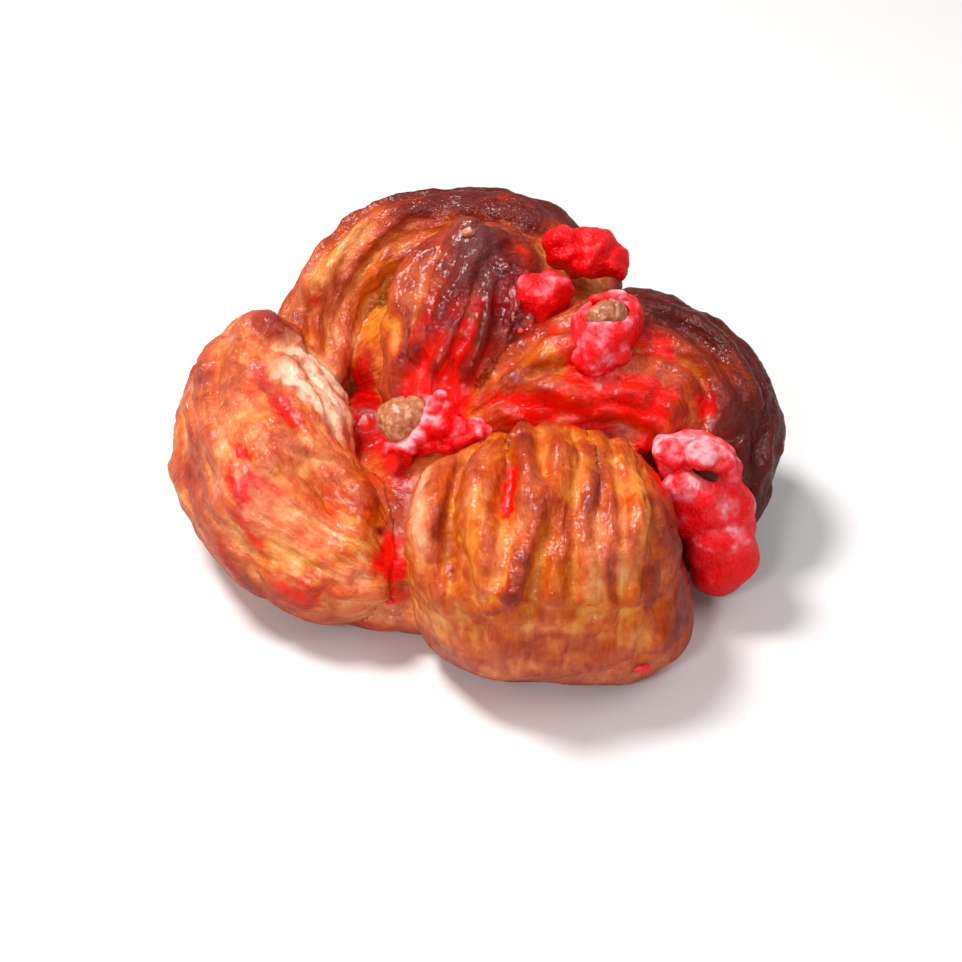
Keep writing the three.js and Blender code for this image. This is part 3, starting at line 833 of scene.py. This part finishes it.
# Pale marks are partly paler crust, as the yellow spots and the outer edge of the rim, and partly painted
# highlights: on the cream ridges of the front turn and on the glossy fold at its left.
PALE_AND_HIGHLIGHT = [
    ([(396, 322), (394, 355)], 1.2, 0.8), ([(222, 450)], 1.8, 0.7), ([(303, 439)], 1.6, 0.6),
    ([(300, 465), (330, 460)], 2.0, 0.5), ([(306, 306), (322, 274), (346, 244), (376, 220)], 2.4, 0.8),
    ([(385, 250), (380, 300), (385, 340)], 3.5, 0.45),
    ([(476, 484), (475, 520)], 1.5, 0.7), ([(468, 528), (470, 580)], 2.0, 0.5),
    ([(556, 560), (552, 600)], 1.3, 0.5), ([(592, 555), (592, 605)], 1.5, 0.7),
    ([(636, 470), (640, 540)], 1.8, 0.7), ([(562, 490)], 1.8, 0.5), ([(545, 520), (550, 545)], 2.0, 0.3),
    ([(520, 666)], 2.0, 0.4), ([(556, 645)], 1.6, 0.4), ([(571, 628)], 1.8, 0.4),
    ([(430, 455), (440, 452)], 1.6, 0.3), ([(525, 350), (560, 350)], 2.6, 0.5),
    ([(345, 590), (400, 605)], 4.0, 0.5), ([(424, 466), (418, 500), (421, 548)], 2.0, 1.0),
    ([(428, 606), (436, 650)], 4.0, 0.3),
    ([(440, 455), (455, 450)], 2.0, 0.5), ([(250, 540), (290, 560)], 2.4, 0.4),
    ([(620, 640), (650, 636)], 2.0, 0.35),
]
TORN = [
    ([(290, 346), (325, 368), (348, 396)], 2.6, 1.0), ([(282, 362), (312, 392), (340, 430)], 2.4, 0.95),
    ([(300, 360), (322, 385), (345, 415)], 2.8, 1.0),
    ([(266, 437), (281, 435)], 0.7, 0.7),
]
# Grey-purple marks: purple-brown crust on the peak, ridge ends and the crack, and a painted sheen on the far
# right side of the front turn.
PLUM_AND_SHEEN = [
    ([(462, 226), (474, 240), (478, 265)], 4.0, 0.7), ([(262, 318)], 3.0, 0.45),
    ([(254, 366), (268, 384), (284, 406)], 1.6, 0.6), ([(524, 552), (508, 604)], 1.6, 0.5),
    ([(583, 448), (598, 469), (588, 510)], 1.4, 0.45), ([(569, 513), (568, 533)], 0.6, 0.8),
    ([(684, 540), (682, 600)], 1.6, 0.4), ([(236, 486), (240, 500)], 1.0, 0.6),
    ([(198, 445), (196, 460)], 1.0, 0.4), ([(440, 310), (450, 330)], 1.2, 0.5), ([(314, 285)], 1.2, 0.6),
    ([(430, 640), (455, 660)], 3.0, 0.35),
]
ROSE = [
    ([(410, 620), (440, 660), (480, 680)], 5.0, 0.7), ([(196, 470), (210, 530), (238, 580)], 4.0, 0.7),
    ([(193, 380), (205, 355), (230, 335)], 3.0, 0.6), ([(520, 676), (640, 672)], 3.0, 0.5),
    ([(684, 600), (684, 640)], 3.0, 0.5), ([(335, 300), (350, 250), (372, 225)], 2.0, 0.5),
    ([(424, 466), (418, 510), (421, 560)], 2.7, 1.0), ([(526, 465), (536, 480), (520, 540)], 2.0, 0.6),
    ([(592, 500), (596, 600)], 2.5, 0.5), ([(660, 500), (684, 560), (684, 620)], 5.0, 0.4),
    ([(420, 250), (440, 280)], 3.0, 0.5),
    ([(330, 600), (410, 615)], 4.0, 0.6), ([(560, 640), (600, 650)], 4.0, 0.4),
]
HONEY = [
    ([(345, 470), (362, 500), (385, 530)], 6.0, 1.0), ([(385, 250), (382, 300), (390, 340)], 5.0, 1.0),
    ([(466, 520), (472, 590)], 3.0, 1.0), ([(548, 470), (556, 530), (556, 600)], 4.0, 0.8),
    ([(500, 440), (580, 450), (620, 470)], 5.0, 0.8), ([(420, 230), (480, 215), (540, 235)], 4.0, 0.8),
    ([(520, 370), (560, 365)], 5.0, 0.6),
]
GLOSS = [
    ([(424, 465), (417, 520), (421, 560)], 3.0, 1.0), ([(440, 380), (470, 385), (490, 340)], 6.0, 1.0),
    ([(470, 480), (474, 530), (480, 590)], 2.6, 0.8), ([(520, 440), (580, 450)], 4.0, 0.6),
    ([(510, 598)], 1.2, 1.0), ([(520, 380), (600, 400), (680, 400)], 6.0, 1.0),
    ([(245, 560), (300, 590)], 5.0, 0.9), ([(226, 500), (260, 530), (300, 560)], 5.0, 0.8),
    ([(390, 340), (385, 370), (400, 385)], 2.5, 1.0), ([(385, 560)], 3.0, 1.0),
]

# %% [markdown]
# The bake starts from how each turn lies in the oven: the rim and the right turn stand high and go
# dark. Soft noise, the hollows and the traced stains are added to it. Broad things come first and
# fine ones last, as on the real crust. Some traced dark marks are painted shade and some pale ones
# are painted highlights, so the field holds both the bake and painted light.

# %% Fields
points = to_knot(points_of(dough))
normals = normals_of(dough)
strand, which, part = strand_of(points)
length_part, girth_part = part.T
height = points[:, 2]
fine_hollow, wide_hollow = hollow(dough, 3), hollow(dough, 30)
base = per_turn(which, middle=0.42, back_foot=0.55, right_foot=0.7, left_turn=0.3, back_rim=0.42,
                bowl_floor=0.34, fold=0.5, right_turn=0.42, front_turn=0.36)
blotch = layered(points, 8, 27)
rim = per_turn(which, back_rim=1.0) * ease((girth_part - 0.22 + 0.03 * blotch) / 0.06) * ease(
    (length_part - 0.35) / 0.2)
rim = rim + per_turn(which, right_turn=1.0) * ease((girth_part - 0.17 + 0.03 * blotch) / 0.14) * ease(
    (length_part - 0.32) / 0.15)
bake_and_painted_light = soften(dough, base, 12) + 0.06 * ease((height - 22) / 26) * ease(normals[:, 2] + 0.4)
bake_and_painted_light += 0.14 * layered(points, 12, 21) + 0.08 * layered(points, 3.0, 23)
bake_and_painted_light -= np.clip(0.9 * fine_hollow, -0.08, 0.08) + np.clip(0.06 * wide_hollow, -0.06, 0.06)
bake_and_painted_light += soften(dough, rim, 4) * (0.92 - bake_and_painted_light)
bake_and_painted_light += 0.1 * ease((0.5 - normals[:, 2]) / 0.6) * ease((24 - height) / 14)
dark, light = stain_of(points, normals, DARK_AND_SHADE), stain_of(points, normals, PALE_AND_HIGHLIGHT)
# Dark marks darken the crust: baked dark, and painted shade in the hole, the recess and the groove.
bake_and_painted_light = bake_and_painted_light + dark * (0.95 - bake_and_painted_light)
# Pale marks lighten it: paler crust, and painted highlights on ridges and on the glossy fold.
bake_and_painted_light = bake_and_painted_light - light * (bake_and_painted_light - 0.12)
streaks = ease((layered(strand, (9.0, 2.6, 5.0), 29) - 0.12) / 0.3)
syrup = per_turn(which, left_turn=0.5, right_turn=0.5, fold=0.4, bowl_floor=0.2, front_turn=0.16,
                 middle=0.5, back_rim=0.15) * streaks
syrup = np.maximum(soften(dough, syrup, 3), stain_of(points, normals, SYRUP, wobble=0.55))
syrup = syrup * (1 + np.clip(0.3 * wide_hollow, -0.2, 0.3))
rose = soften(dough, per_turn(which, left_turn=0.55, back_rim=0.3, fold=0.4, right_turn=0.15,
                              front_turn=0.15, middle=0.1, back_foot=0.5, right_foot=0.6), 12)
rose = rose + 0.5 * blotch + 0.2 * layered(points, 2.4, 31)
rose = rose * (1 - stain_of(points, normals, HONEY))
walls = ease((0.5 - normals[:, 2]) / 0.6) * ease((24 - height) / 14)
rose = np.maximum(np.maximum(rose, stain_of(points, normals, ROSE)), 0.7 * walls)
torn = stain_of(points, normals, TORN, wobble=0.6) * per_turn(which, left_turn=1.0)
syrup = syrup * (1 - 0.8 * torn)
plum_and_sheen = stain_of(points, normals, PLUM_AND_SHEEN)
wet = per_turn(which, 0.5, left_turn=0.45, back_rim=0.35, fold=0.55, right_turn=0.45, front_turn=0.42)
wet = wet + 0.5 * layered(points, 5.0, 25) + 0.4 * syrup - 0.3 * walls - 0.5 * torn
wet = np.maximum(wet, stain_of(points, normals, GLOSS))
set_field(dough, "strand", strand)
for name, values in dict(bake_and_painted_light=bake_and_painted_light, syrup=syrup, rose=rose, torn=torn, plum_and_sheen=plum_and_sheen, wet=wet).items():
    set_field(dough, name, np.clip(values, 0, 1))
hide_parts("dough")
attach(dough, "root")
print("mean bake", round(float(bake_and_painted_light.mean()), 2), "mean syrup", round(float(syrup.mean()), 2))

# %% [markdown]
# ## Sugared nuts
# Each praline is a nut in a thick, lumpy coat of red sugar. A coat that was built up in a
# rolling pan is a cluster of round lumps, so each one is a few pebbles with knobs all over, which
# are fused by the same voxel remesh as the dough. Where the coat is broken, the nut shows.

# %% Lumpy sugar coats
def knobbly(p):
    return 0.16 * creased(p, 3.4, 61, 2) + 0.24 * layered(p, 2.4, 62, 2) + 0.05 * grain(p, 0.8, 63)


def gentle(p):
    return 0.3 * knobbly(p) + 0.12 * layered(p, 5.0, 64, 2)


NUTS = {
    "centre": dict(at=(-16.3, -6.4, 31.8), half=(4.9, 4, 3.9), turn=(-20, 0, 0), lumps=0.3, seed=31),
    "back": dict(at=(18.5, 0.2, 49.2), half=(3.6, 2.4, 2.6), turn=(0, 0, 20), lumps=0.2, seed=32),
    "right": dict(at=(34, -19.2, 32), half=(3.2, 0.9, 2.4), turn=(0, 20, -35), lumps=0.1, seed=33),
}

COATS = {
    "centre": [
        dict(at=(-12.8, -4.9, 29.6), half=(7, 4.8, 5), turn=(0, -8, -12), lumps=0.6, seed=21),
        dict(at=(-6.4, -8.2, 30.2), half=(3.6, 2.4, 1.7), turn=(0, -10, 10), lumps=0.5, size=3, seed=22),
        dict(at=(-3.3, -8.2, 31.2), half=(2.2, 1.9, 1.7), lumps=0.4, size=3, seed=23),
    ],
    "top": [
        dict(at=(16.2, 24.6, 43.6), half=(6, 4.6, 4.2), lumps=0.7, size=5, seed=24),
        dict(at=(11.2, 25, 45), half=(3.2, 3.4, 4), lumps=0.5, size=4, seed=25),
        dict(at=(20.6, 24.2, 42.4), half=(2.8, 3, 2.8), lumps=0.5, size=4, seed=26),
    ],
    "small": [
        dict(at=(7.5, 13.4, 42.7), half=(4.6, 4.4, 5), lumps=0.6, size=6, seed=27),
    ],
    "back": [
        dict(at=(18.4, 0.8, 45), half=(5.6, 8.2, 5.4), turn=(12, 0, -22), lumps=0.7, size=8, seed=28),
    ],
    "right": [
        dict(at=(33.6, -14.4, 29), half=(7.6, 5.2, 5.4), turn=(0, 14, -10), lumps=0.6, size=6, seed=29),
        dict(at=(35.7, -17.8, 21.4), half=(7.8, 5.4, 8), turn=(14, 10, 0),
             lumps=0.4, size=9, seed=30, finer=gentle),
        dict(at=(38.8, -20.6, 12.2), half=(5.6, 4.8, 9.2), turn=(10, 8, 0),
             lumps=0.3, size=9, seed=34, finer=gentle),
    ],
}

CRESCENT = [  # across and up from the middle of the nut, and half the width, in mm
    (-2.9, -5.3, 1.0), (-1.2, -5.1, 1.4), (0.9, -4.4, 1.8), (2.8, -2.9, 2.0), (4.3, -0.7, 2.0),
    (5.3, 1.6, 1.8), (6.2, 3.8, 1.3),
]


def beside(nut, across, up, nearer):
    """A place beside a nut as the camera sees it, in mm from its middle."""
    return np.array(NUTS[nut]["at"]) + across * RIGHT + up * ABOVE + nearer * BACK


crescent = np.array([beside("centre", across, up, 1.2) for across, up, _ in CRESCENT])
LIPS = {  # sugar that curls over the edge of a nut, or stands off it
    "centre": [
        dict(at=place, half=(half,) * 3, lumps=0.3, size=3, seed=92 + i)
        for i, (place, (_, _, half)) in enumerate(zip(crescent, CRESCENT))
    ] + [
        dict(at=beside("centre", -4, 3, -0.5), half=(2.2, 0.7, 0.7), turn=(0, -40, 0),
             lumps=0.15, size=3, seed=101),
        dict(at=beside("centre", 0.8, -7, 0), half=(0.9, 0.8, 1.4), lumps=0.2, size=3, seed=103),
        dict(at=(-11.6, -8.6, 28.6), half=(4.6, 2.2, 1.8), turn=(0, -6, -4), lumps=0.5, size=3, seed=104),
    ],
    "back": [
        dict(at=(18.6, 3.2, 50.6), half=(3.2, 1, 0.9), turn=(0, 0, 10), lumps=0.2, size=3, seed=101),
        dict(at=(15.8, -4.2, 43.6), half=(2.8, 2.6, 3), lumps=0.4, size=4, seed=102),
        dict(at=(19.8, -3.4, 44.2), half=(2.4, 2.2, 2.4), lumps=0.3, size=4, seed=103),
    ],
    "right": [
        dict(at=(34.7, -19.4, 35), half=(4.2, 2.4, 2.3), turn=(0, 20, 0), lumps=0.4, size=4, seed=104),
        dict(at=(29.4, -17, 33.4), half=(3.6, 2.6, 2.6), lumps=0.4, size=4, seed=105),
        dict(at=(33, -19.8, 26.9), half=(6.2, 3.4, 4.2), turn=(0, 26, 0),
             lumps=0.4, size=6, seed=106, finer=gentle),
        dict(at=(37.4, -20.8, 16.6), half=(5.6, 4.4, 7), lumps=0.2, size=8, seed=107, finer=gentle),
        dict(at=(39.4, -18.4, 17.4), half=(4.6, 4.2, 6.4), turn=(14, 10, 0),
             lumps=0.2, size=8, seed=108, finer=gentle),
    ],
}


def near_crescent(p):
    gap = np.min([np.linalg.norm(p - place, axis=1) for place in crescent[1:]], axis=0)
    return np.exp(-(np.maximum(gap - 1.6, 0) / 1.4) ** 2)


FROST_AND_PAINTED_LIGHT = {  # frost, and painted light on tops and painted shade low and on the right
    "centre": lambda p: -0.12 + 0.7 * near_crescent(p) + 0.68 * ease((p[:, 0] + 5) / 1.5),
    "top": lambda p: -0.1,
    "small": lambda p: -0.08 + 0.25 * ease((p[:, 2] - 42) / 4),
    "back": lambda p: 0.38 - 0.25 * ease((p[:, 0] - 19) / 4),
    "right": lambda p: 0.36 + 0.22 * ease((p[:, 2] - 29) / 5) - 0.3 * ease((19 - p[:, 2]) / 6),
}
FINE_VOXEL = 0.24 * MM
SOCKET_ROOM = 0.12  # mm round a nut


def fused(objects, name):
    """Lumps that are joined and wrapped in one skin."""
    whole = joined(objects, name)
    apply(whole, "REMESH", mode="VOXEL", voxel_size=FINE_VOXEL, use_smooth_shade=True)
    return whole


def sugared(name, lumps, **values):
    return [pebble(f"{name}_{i}", **{"finer": knobbly, **values, **each}) for i, each in enumerate(lumps)]


coats = {}
for where, lumps in COATS.items():
    coat = fused(sugared("lump", lumps), f"sugar_{where}")
    if where in NUTS:
        cut_away(coat, pebble("socket", grow=SOCKET_ROOM, detail=5, **NUTS[where]))
        coat = fused([coat] + sugared("lip", LIPS[where], detail=5), f"sugar_{where}")
    apply(coat, "SMOOTH", factor=0.5, iterations=2)
    keep_outer_skin(coat)
    p = to_knot(points_of(coat))
    # Paler on upward faces: partly frost, partly painted light.
    uneven = 0.34 * normals_of(coat)[:, 2] + 0.55 * layered(p, 4.0, 71) + 0.12 * layered(p, 1.6, 73)
    set_field(coat, "frost_and_painted_light", np.clip(FROST_AND_PAINTED_LIGHT[where](p) + uneven, 0, 1))
    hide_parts(f"praline_{where}")
    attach(coat, "root")
    coats[where] = coat
    print(coat.name, len(coat.data.polygons), "faces")

# %% [markdown]
# ## Crumbs
# A pale chip of nut sits on the peak, and a few bits of pink sugar lie on the crust. They could be
# scattered at random, but these few places are listed, so each is a small pebble that is set
# where the brush meets the finished skin.

# %% Crumbs
skin_tree = ray_tree(dough)
CHIPS = [((468, 232), (1.3, 0.9, 0.8), 20)]  # place in the picture, half size in mm, degrees
BITS = [
    ((601, 367), (0.7, 0.5, 0.6), 0), ((389, 600), (0.6, 0.7, 0.6), 30), ((641, 667), (1.5, 0.6, 0.7), 10),
    ((521, 332), (0.5, 0.5, 0.5), 0), ((606, 372), (0.5, 0.5, 0.4), 40),
]


def scattered(name, places):
    """Bits that are joined into one piece, each sunk a little into the skin."""
    lumps = []
    for i, (place, half, spin) in enumerate(places):
        on, facing = hit(*place)
        lumps.append(pebble(f"{name}_{i}", on + 0.2 * facing, half, (0, 0, spin),
                            lumps=0.12, size=1.2, seed=120 + i, detail=4))
    piece = joined(lumps, name)
    bpy.ops.object.shade_smooth()
    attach(piece, "root")
    return piece


chips, bits = scattered("nut_chip", CHIPS), scattered("sugar_bits", BITS)
set_field(bits, "frost_and_painted_light", np.full(len(bits.data.vertices), 0.55))
set_field(chips, "roast_and_shade", np.zeros(len(chips.data.vertices)))
print("crumbs:", len(CHIPS + BITS))

# %% [markdown]
# ## Bare nuts
# Where the sugar broke off, a roasted nut shows. It fills the socket that was cut for it. It is one
# more pebble, with a shrivelled skin and a crack, because three nuts of this size differ enough by
# their proportions and by how dark they are. The nut in the narrow slit is darkest, as painted shade.

# %% Nuts
def shrivelled(p):
    crack = np.exp(-((p[:, 0] - 0.6 - 0.5 * grain(p, 2.0, 84)) / 0.35) ** 2) * ease((p[:, 2] - 0.5) / 1.5)
    return 0.24 * layered(p, (3.4, 2.2, 2.2), 81, 2) + 0.03 * grain(p, 0.6, 83) - 0.5 * crack


# How far each nut goes toward dark brown: roast, and in the narrow slit painted shade.
ROAST_AND_SHADE = {"centre": 0.1, "back": 0.3, "right": 1.0}
nuts = {}
for where, each in NUTS.items():
    nut = pebble(f"kernel_{where}", finer=shrivelled, detail=5, **each)
    active(nut)
    bpy.ops.object.shade_smooth()
    set_field(nut, "roast_and_shade", np.full(len(nut.data.vertices), ROAST_AND_SHADE[where]))
    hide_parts(f"nut_{where}")
    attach(nut, "root")
    nuts[where] = nut
print("nuts:", list(nuts))

# %% [markdown]
# ## Materials
# All three materials are built from a few kinds of node, so each kind gets a short helper. The
# last one makes the surface: light sinks a little into dough, sugar and nut, as into wax, so all
# of them have some subsurface light under a clear gloss.

# %% Node helpers
def linear(*rgb):
    """A colour given in the usual 0 to 255, as Blender's shaders want it."""
    return tuple((c / 255 / 12.92 if c <= 10 else ((c / 255 + 0.055) / 1.055) ** 2.4) for c in rgb) + (1.0,)


def new_material(name):
    m = bpy.data.materials.new(name)
    m.use_nodes = True
    m.node_tree.nodes.clear()
    return m, m.node_tree


def add(tree, kind, inputs=None, **settings):
    node = tree.nodes.new(kind)
    for key, value in settings.items():
        setattr(node, key, value)
    for key, value in (inputs or {}).items():
        if isinstance(value, bpy.types.NodeSocket):
            tree.links.new(value, node.inputs[key])
        else:
            node.inputs[key].default_value = value
    return node


def field(tree, name):
    node = add(tree, "ShaderNodeAttribute", attribute_name=name)
    return node.outputs["Vector"] if name == "strand" else node.outputs["Fac"]


def maths(tree, kind, a, b=0.0, c=0.0, clamp=False):
    return add(tree, "ShaderNodeMath", {0: a, 1: b, 2: c}, operation=kind, use_clamp=clamp).outputs[0]


def mixed(tree, fac, a, b, how="MIX"):
    return add(tree, "ShaderNodeMix", {0: fac, 6: a, 7: b}, data_type="RGBA", blend_type=how).outputs[2]


def noise(tree, vector, scale, detail=3.0, rough=0.55):
    return add(tree, "ShaderNodeTexNoise", {"Vector": vector, "Scale": scale, "Detail": detail,
                                            "Roughness": rough}).outputs["Fac"]


def ramp(tree, fac, stops):
    node = add(tree, "ShaderNodeValToRGB", {0: fac})
    bands = node.color_ramp.elements
    while len(bands) < len(stops):
        bands.new(0.5)
    for band, (at, colour) in zip(bands, stops):
        band.position, band.color = at, colour
    return node.outputs["Color"]


def stretched(tree, vector, scale):
    return add(tree, "ShaderNodeMapping", {"Vector": vector, "Scale": scale}).outputs[0]


def waxy(tree, colour, rough, height, strength, relief, gloss, glow, tint, depth):
    """The surface of all the food. Relief and depth are in mm."""
    bump = add(tree, "ShaderNodeBump", {"Strength": strength, "Distance": relief * MM, "Height": height})
    surface = add(tree, "ShaderNodeBsdfPrincipled", {
        "Base Color": colour, "Roughness": rough, "Normal": bump.outputs[0], "Specular IOR Level": gloss,
        "Subsurface Weight": glow, "Subsurface Radius": tint, "Subsurface Scale": depth * MM})
    add(tree, "ShaderNodeOutputMaterial", {"Surface": surface.outputs[0]})


def wear(material, objects):
    for obj in objects:
        obj.data.materials.clear()
        obj.data.materials.append(material)
    print(material.name, "on", [obj.name for obj in objects])


def in_mm(tree):
    """Object coordinates, counted in millimetres."""
    place = add(tree, "ShaderNodeTexCoord").outputs["Object"]
    return stretched(tree, place, (1000, 1000, 1000))


# %% [markdown]
# ## Fine grain
# Nothing here is one even colour or quite smooth. Mottle varies the colour and the gloss, and pores
# are for the bump. They could be copied into each material, but a node group is built once and
# used by all three.

# %% Fine grain, for all three materials
grain_group = bpy.data.node_groups.new("fine_grain", "ShaderNodeTree")
grain_group.interface.new_socket("Vector", in_out="INPUT", socket_type="NodeSocketVector")
grain_group.interface.new_socket("Mottle", in_out="OUTPUT", socket_type="NodeSocketFloat")
grain_group.interface.new_socket("Pores", in_out="OUTPUT", socket_type="NodeSocketFloat")
entry = add(grain_group, "NodeGroupInput").outputs["Vector"]
mottle = noise(grain_group, entry, 0.9, 4.0, 0.6)
pores = maths(grain_group, "MULTIPLY_ADD", noise(grain_group, entry, 3.0, 2.0), 0.35,
              noise(grain_group, entry, 1.4, 2.0, 0.5))
add(grain_group, "NodeGroupOutput", {"Mottle": mottle, "Pores": pores})


def fine_grain(tree, vector):
    node = add(tree, "ShaderNodeGroup", node_tree=grain_group)
    tree.links.new(vector, node.inputs["Vector"])
    return node.outputs["Mottle"], node.outputs["Pores"]


# %% [markdown]
# ## Crust
# The crust goes from pale gold through amber to dark brown with the bake, which also holds painted
# shade and highlights, so its colour is read from a ramp: one ramp for the clear amber, one for the
# duller pink-brown. Noise that is stretched along the strand gives fibres, and one of them also
# paints paler streaks as highlights. Red syrup lies on it like ink, so it multiplies the colour,
# and only where it is thick it is a red of its own. Wet places are nearly mirror smooth and the
# bump under them is soft, which breaks the light into small glints.

# %% Crust
AMBER = [
    (0.0, linear(250, 202, 128)), (0.2, linear(226, 142, 48)), (0.4, linear(202, 92, 14)),
    (0.6, linear(172, 56, 12)), (0.8, linear(120, 34, 18)), (1.0, linear(72, 18, 18)),
]
SALMON = [
    (0.0, linear(250, 208, 166)), (0.2, linear(234, 154, 112)), (0.4, linear(210, 112, 78)),
    (0.6, linear(172, 76, 56)), (0.8, linear(122, 44, 40)), (1.0, linear(82, 26, 30)),
]
crust, tree = new_material("baked_crust")
mm = in_mm(tree)
strand_mm = field(tree, "strand")
mottle, pores = fine_grain(tree, mm)
fibre = noise(tree, stretched(tree, strand_mm, (0.22, 1.3, 1.0)), 1.0, 4.0, 0.6)
fibre_and_highlight = noise(tree, stretched(tree, strand_mm, (0.4, 1.0, 1.0)), 1.0, 2.0, 0.5)
bake_and_painted_light_here = maths(tree, "MULTIPLY_ADD", mottle, 0.14, maths(tree, "SUBTRACT", field(tree, "bake_and_painted_light"), 0.07))
bake_and_painted_light_here = maths(tree, "MULTIPLY_ADD", fibre, 0.14, maths(tree, "SUBTRACT", bake_and_painted_light_here, 0.07))
# Lighter and darker streaks along the strand: fibre tone, with painted highlights on the pale ones.
bake_and_painted_light_here = maths(tree, "MULTIPLY_ADD", fibre_and_highlight, -0.3, maths(tree, "ADD", bake_and_painted_light_here, 0.15))
colour = mixed(tree, field(tree, "rose"), ramp(tree, bake_and_painted_light_here, AMBER), ramp(tree, bake_and_painted_light_here, SALMON))
colour = mixed(tree, field(tree, "torn"), colour, linear(254, 216, 186))
stain = maths(tree, "MULTIPLY_ADD", fibre, 0.7, maths(tree, "SUBTRACT", field(tree, "syrup"), 0.35))
stain = maths(tree, "MULTIPLY", stain, maths(tree, "GREATER_THAN", field(tree, "syrup"), 0.01), clamp=True)
colour = mixed(tree, stain, colour, linear(255, 92, 70), "MULTIPLY")
# Syrup goes a darker red where the crust is baked dark and where painted shade lies.
burnt_and_shaded = maths(tree, "MULTIPLY", maths(tree, "SUBTRACT", bake_and_painted_light_here, 0.45), 2.0, clamp=True)
deep_red = mixed(tree, burnt_and_shaded, linear(252, 6, 2), linear(96, 4, 8))
deep = maths(tree, "MULTIPLY", maths(tree, "SUBTRACT", stain, 0.45), 1.6, clamp=True)
colour = mixed(tree, deep, colour, deep_red)
# Grey-purple: purple-brown crust, and a painted sheen on the far right of the front turn.
colour = mixed(tree, maths(tree, "MULTIPLY", field(tree, "plum_and_sheen"), 0.6), colour, linear(122, 66, 70))
wet = maths(tree, "MULTIPLY_ADD", mottle, 0.8, maths(tree, "SUBTRACT", field(tree, "wet"), 0.4), clamp=True)
rough = add(tree, "ShaderNodeMix", {0: wet, 2: 0.27, 3: 0.07}, data_type="FLOAT").outputs[0]
rag = noise(tree, stretched(tree, strand_mm, (0.34, 0.8, 1.0)), 1.0, 2.0, 0.5)
wrinkle = maths(tree, "MULTIPLY_ADD", pores, 0.34, rag)
waxy(tree, colour, rough, wrinkle, strength=1.0, relief=0.48, gloss=0.35,
     glow=0.5, tint=(1.0, 0.4, 0.15), depth=2.2)
wear(crust, [dough])

# %% [markdown]
# ## Sugar
# Cooked sugar is a deep clear red, and pink where fine crystals have dried on it. The frost, which
# also holds painted light on the tops and painted shade low and on the right, chooses the colour
# from a ramp, and the paler it is the rougher it gets.

# %% Sugar
sugar, tree = new_material("red_sugar")
mottle, pores = fine_grain(tree, in_mm(tree))
frost_and_light_here = maths(tree, "MULTIPLY_ADD", mottle, 0.6,
                maths(tree, "SUBTRACT", field(tree, "frost_and_painted_light"), 0.3), clamp=True)
colour = ramp(tree, frost_and_light_here, [
    (0.0, linear(232, 2, 10)), (0.3, linear(250, 8, 18)), (0.55, linear(252, 44, 56)),
    (0.8, linear(253, 110, 122)), (1.0, linear(254, 172, 180))])
rough = maths(tree, "MULTIPLY_ADD", frost_and_light_here, 0.35, 0.16)
waxy(tree, colour, rough, pores, strength=0.8, relief=0.5, gloss=0.3,
     glow=0.5, tint=(1.0, 0.08, 0.1), depth=2.5)
wear(sugar, list(coats.values()) + [bits])

# %% [markdown]
# ## Nut
# A roasted kernel is tan with brown mottling, and it shines a little with oil and syrup. The nut in
# the slit is mixed most toward dark brown, as painted shade inside the narrow slit; the others a
# little, as roast.

# %% Nut
kernel, tree = new_material("roasted_nut")
mottle, pores = fine_grain(tree, in_mm(tree))
tone = maths(tree, "MULTIPLY_ADD", pores, 0.35, maths(tree, "MULTIPLY", mottle, 0.9))
colour = ramp(tree, tone, [
    (0.3, linear(110, 54, 32)), (0.5, linear(166, 90, 56)), (0.7, linear(200, 124, 84)),
    (0.9, linear(232, 180, 140))])
colour = mixed(tree, field(tree, "roast_and_shade"), colour, linear(76, 24, 10))
waxy(tree, colour, 0.12, pores, strength=0.6, relief=0.25, gloss=0.5,
     glow=0.4, tint=(1.0, 0.6, 0.4), depth=1.0)
wear(kernel, list(nuts.values()) + [chips])

# %% [markdown]
# ## Floor and light
# A plain pale floor and three soft lights: a compact one high on the left, which makes the glints
# on the glaze, a small one in front and a broad one on the right. A white floor would lie as a haze
# on every glossy red, so reflections see it as dark grey.

# %% Stage
bpy.ops.object.select_all(action="DESELECT")
bpy.ops.mesh.primitive_plane_add(size=6)
floor = bpy.context.object
floor.name = "floor"
pale, tree = new_material("pale_floor")
glossy_ray = add(tree, "ShaderNodeLightPath").outputs["Is Glossy Ray"]
tone = mixed(tree, glossy_ray, (0.86, 0.86, 0.87, 1), (0.3, 0.3, 0.3, 1))
surface = add(tree, "ShaderNodeBsdfPrincipled", {"Base Color": tone, "Roughness": 0.7})
add(tree, "ShaderNodeOutputMaterial", {"Surface": surface.outputs[0]})
wear(pale, [floor])


def soft_light(name, place, size, power, colour=(1, 1, 1)):
    bpy.ops.object.select_all(action="DESELECT")
    bpy.ops.object.light_add(type="AREA", location=place)
    lamp = bpy.context.object
    lamp.name = name
    lamp.data.shape, lamp.data.size = "DISK", size
    lamp.data.energy, lamp.data.color = power, colour
    lamp.rotation_euler = (Vector((0, 0, 0.02)) - lamp.location).to_track_quat("-Z", "Y").to_euler()
    print("light:", name, power, "W")


soft_light("key", (-0.24, 0.06, 0.6), 0.18, 4.0, (1.0, 0.98, 0.95))
soft_light("front", (-0.14, -0.44, 0.42), 0.1, 1.0)
soft_light("top", (0.32, -0.2, 0.7), 0.5, 1.4)
world = bpy.data.worlds.new("studio")
bpy.context.scene.world = world
world.use_nodes = True
background = world.node_tree.nodes["Background"].inputs
background["Color"].default_value = (1.0, 0.97, 0.94, 1)
background["Strength"].default_value = 0.25
bpy.context.scene.view_settings.view_transform = "Standard"
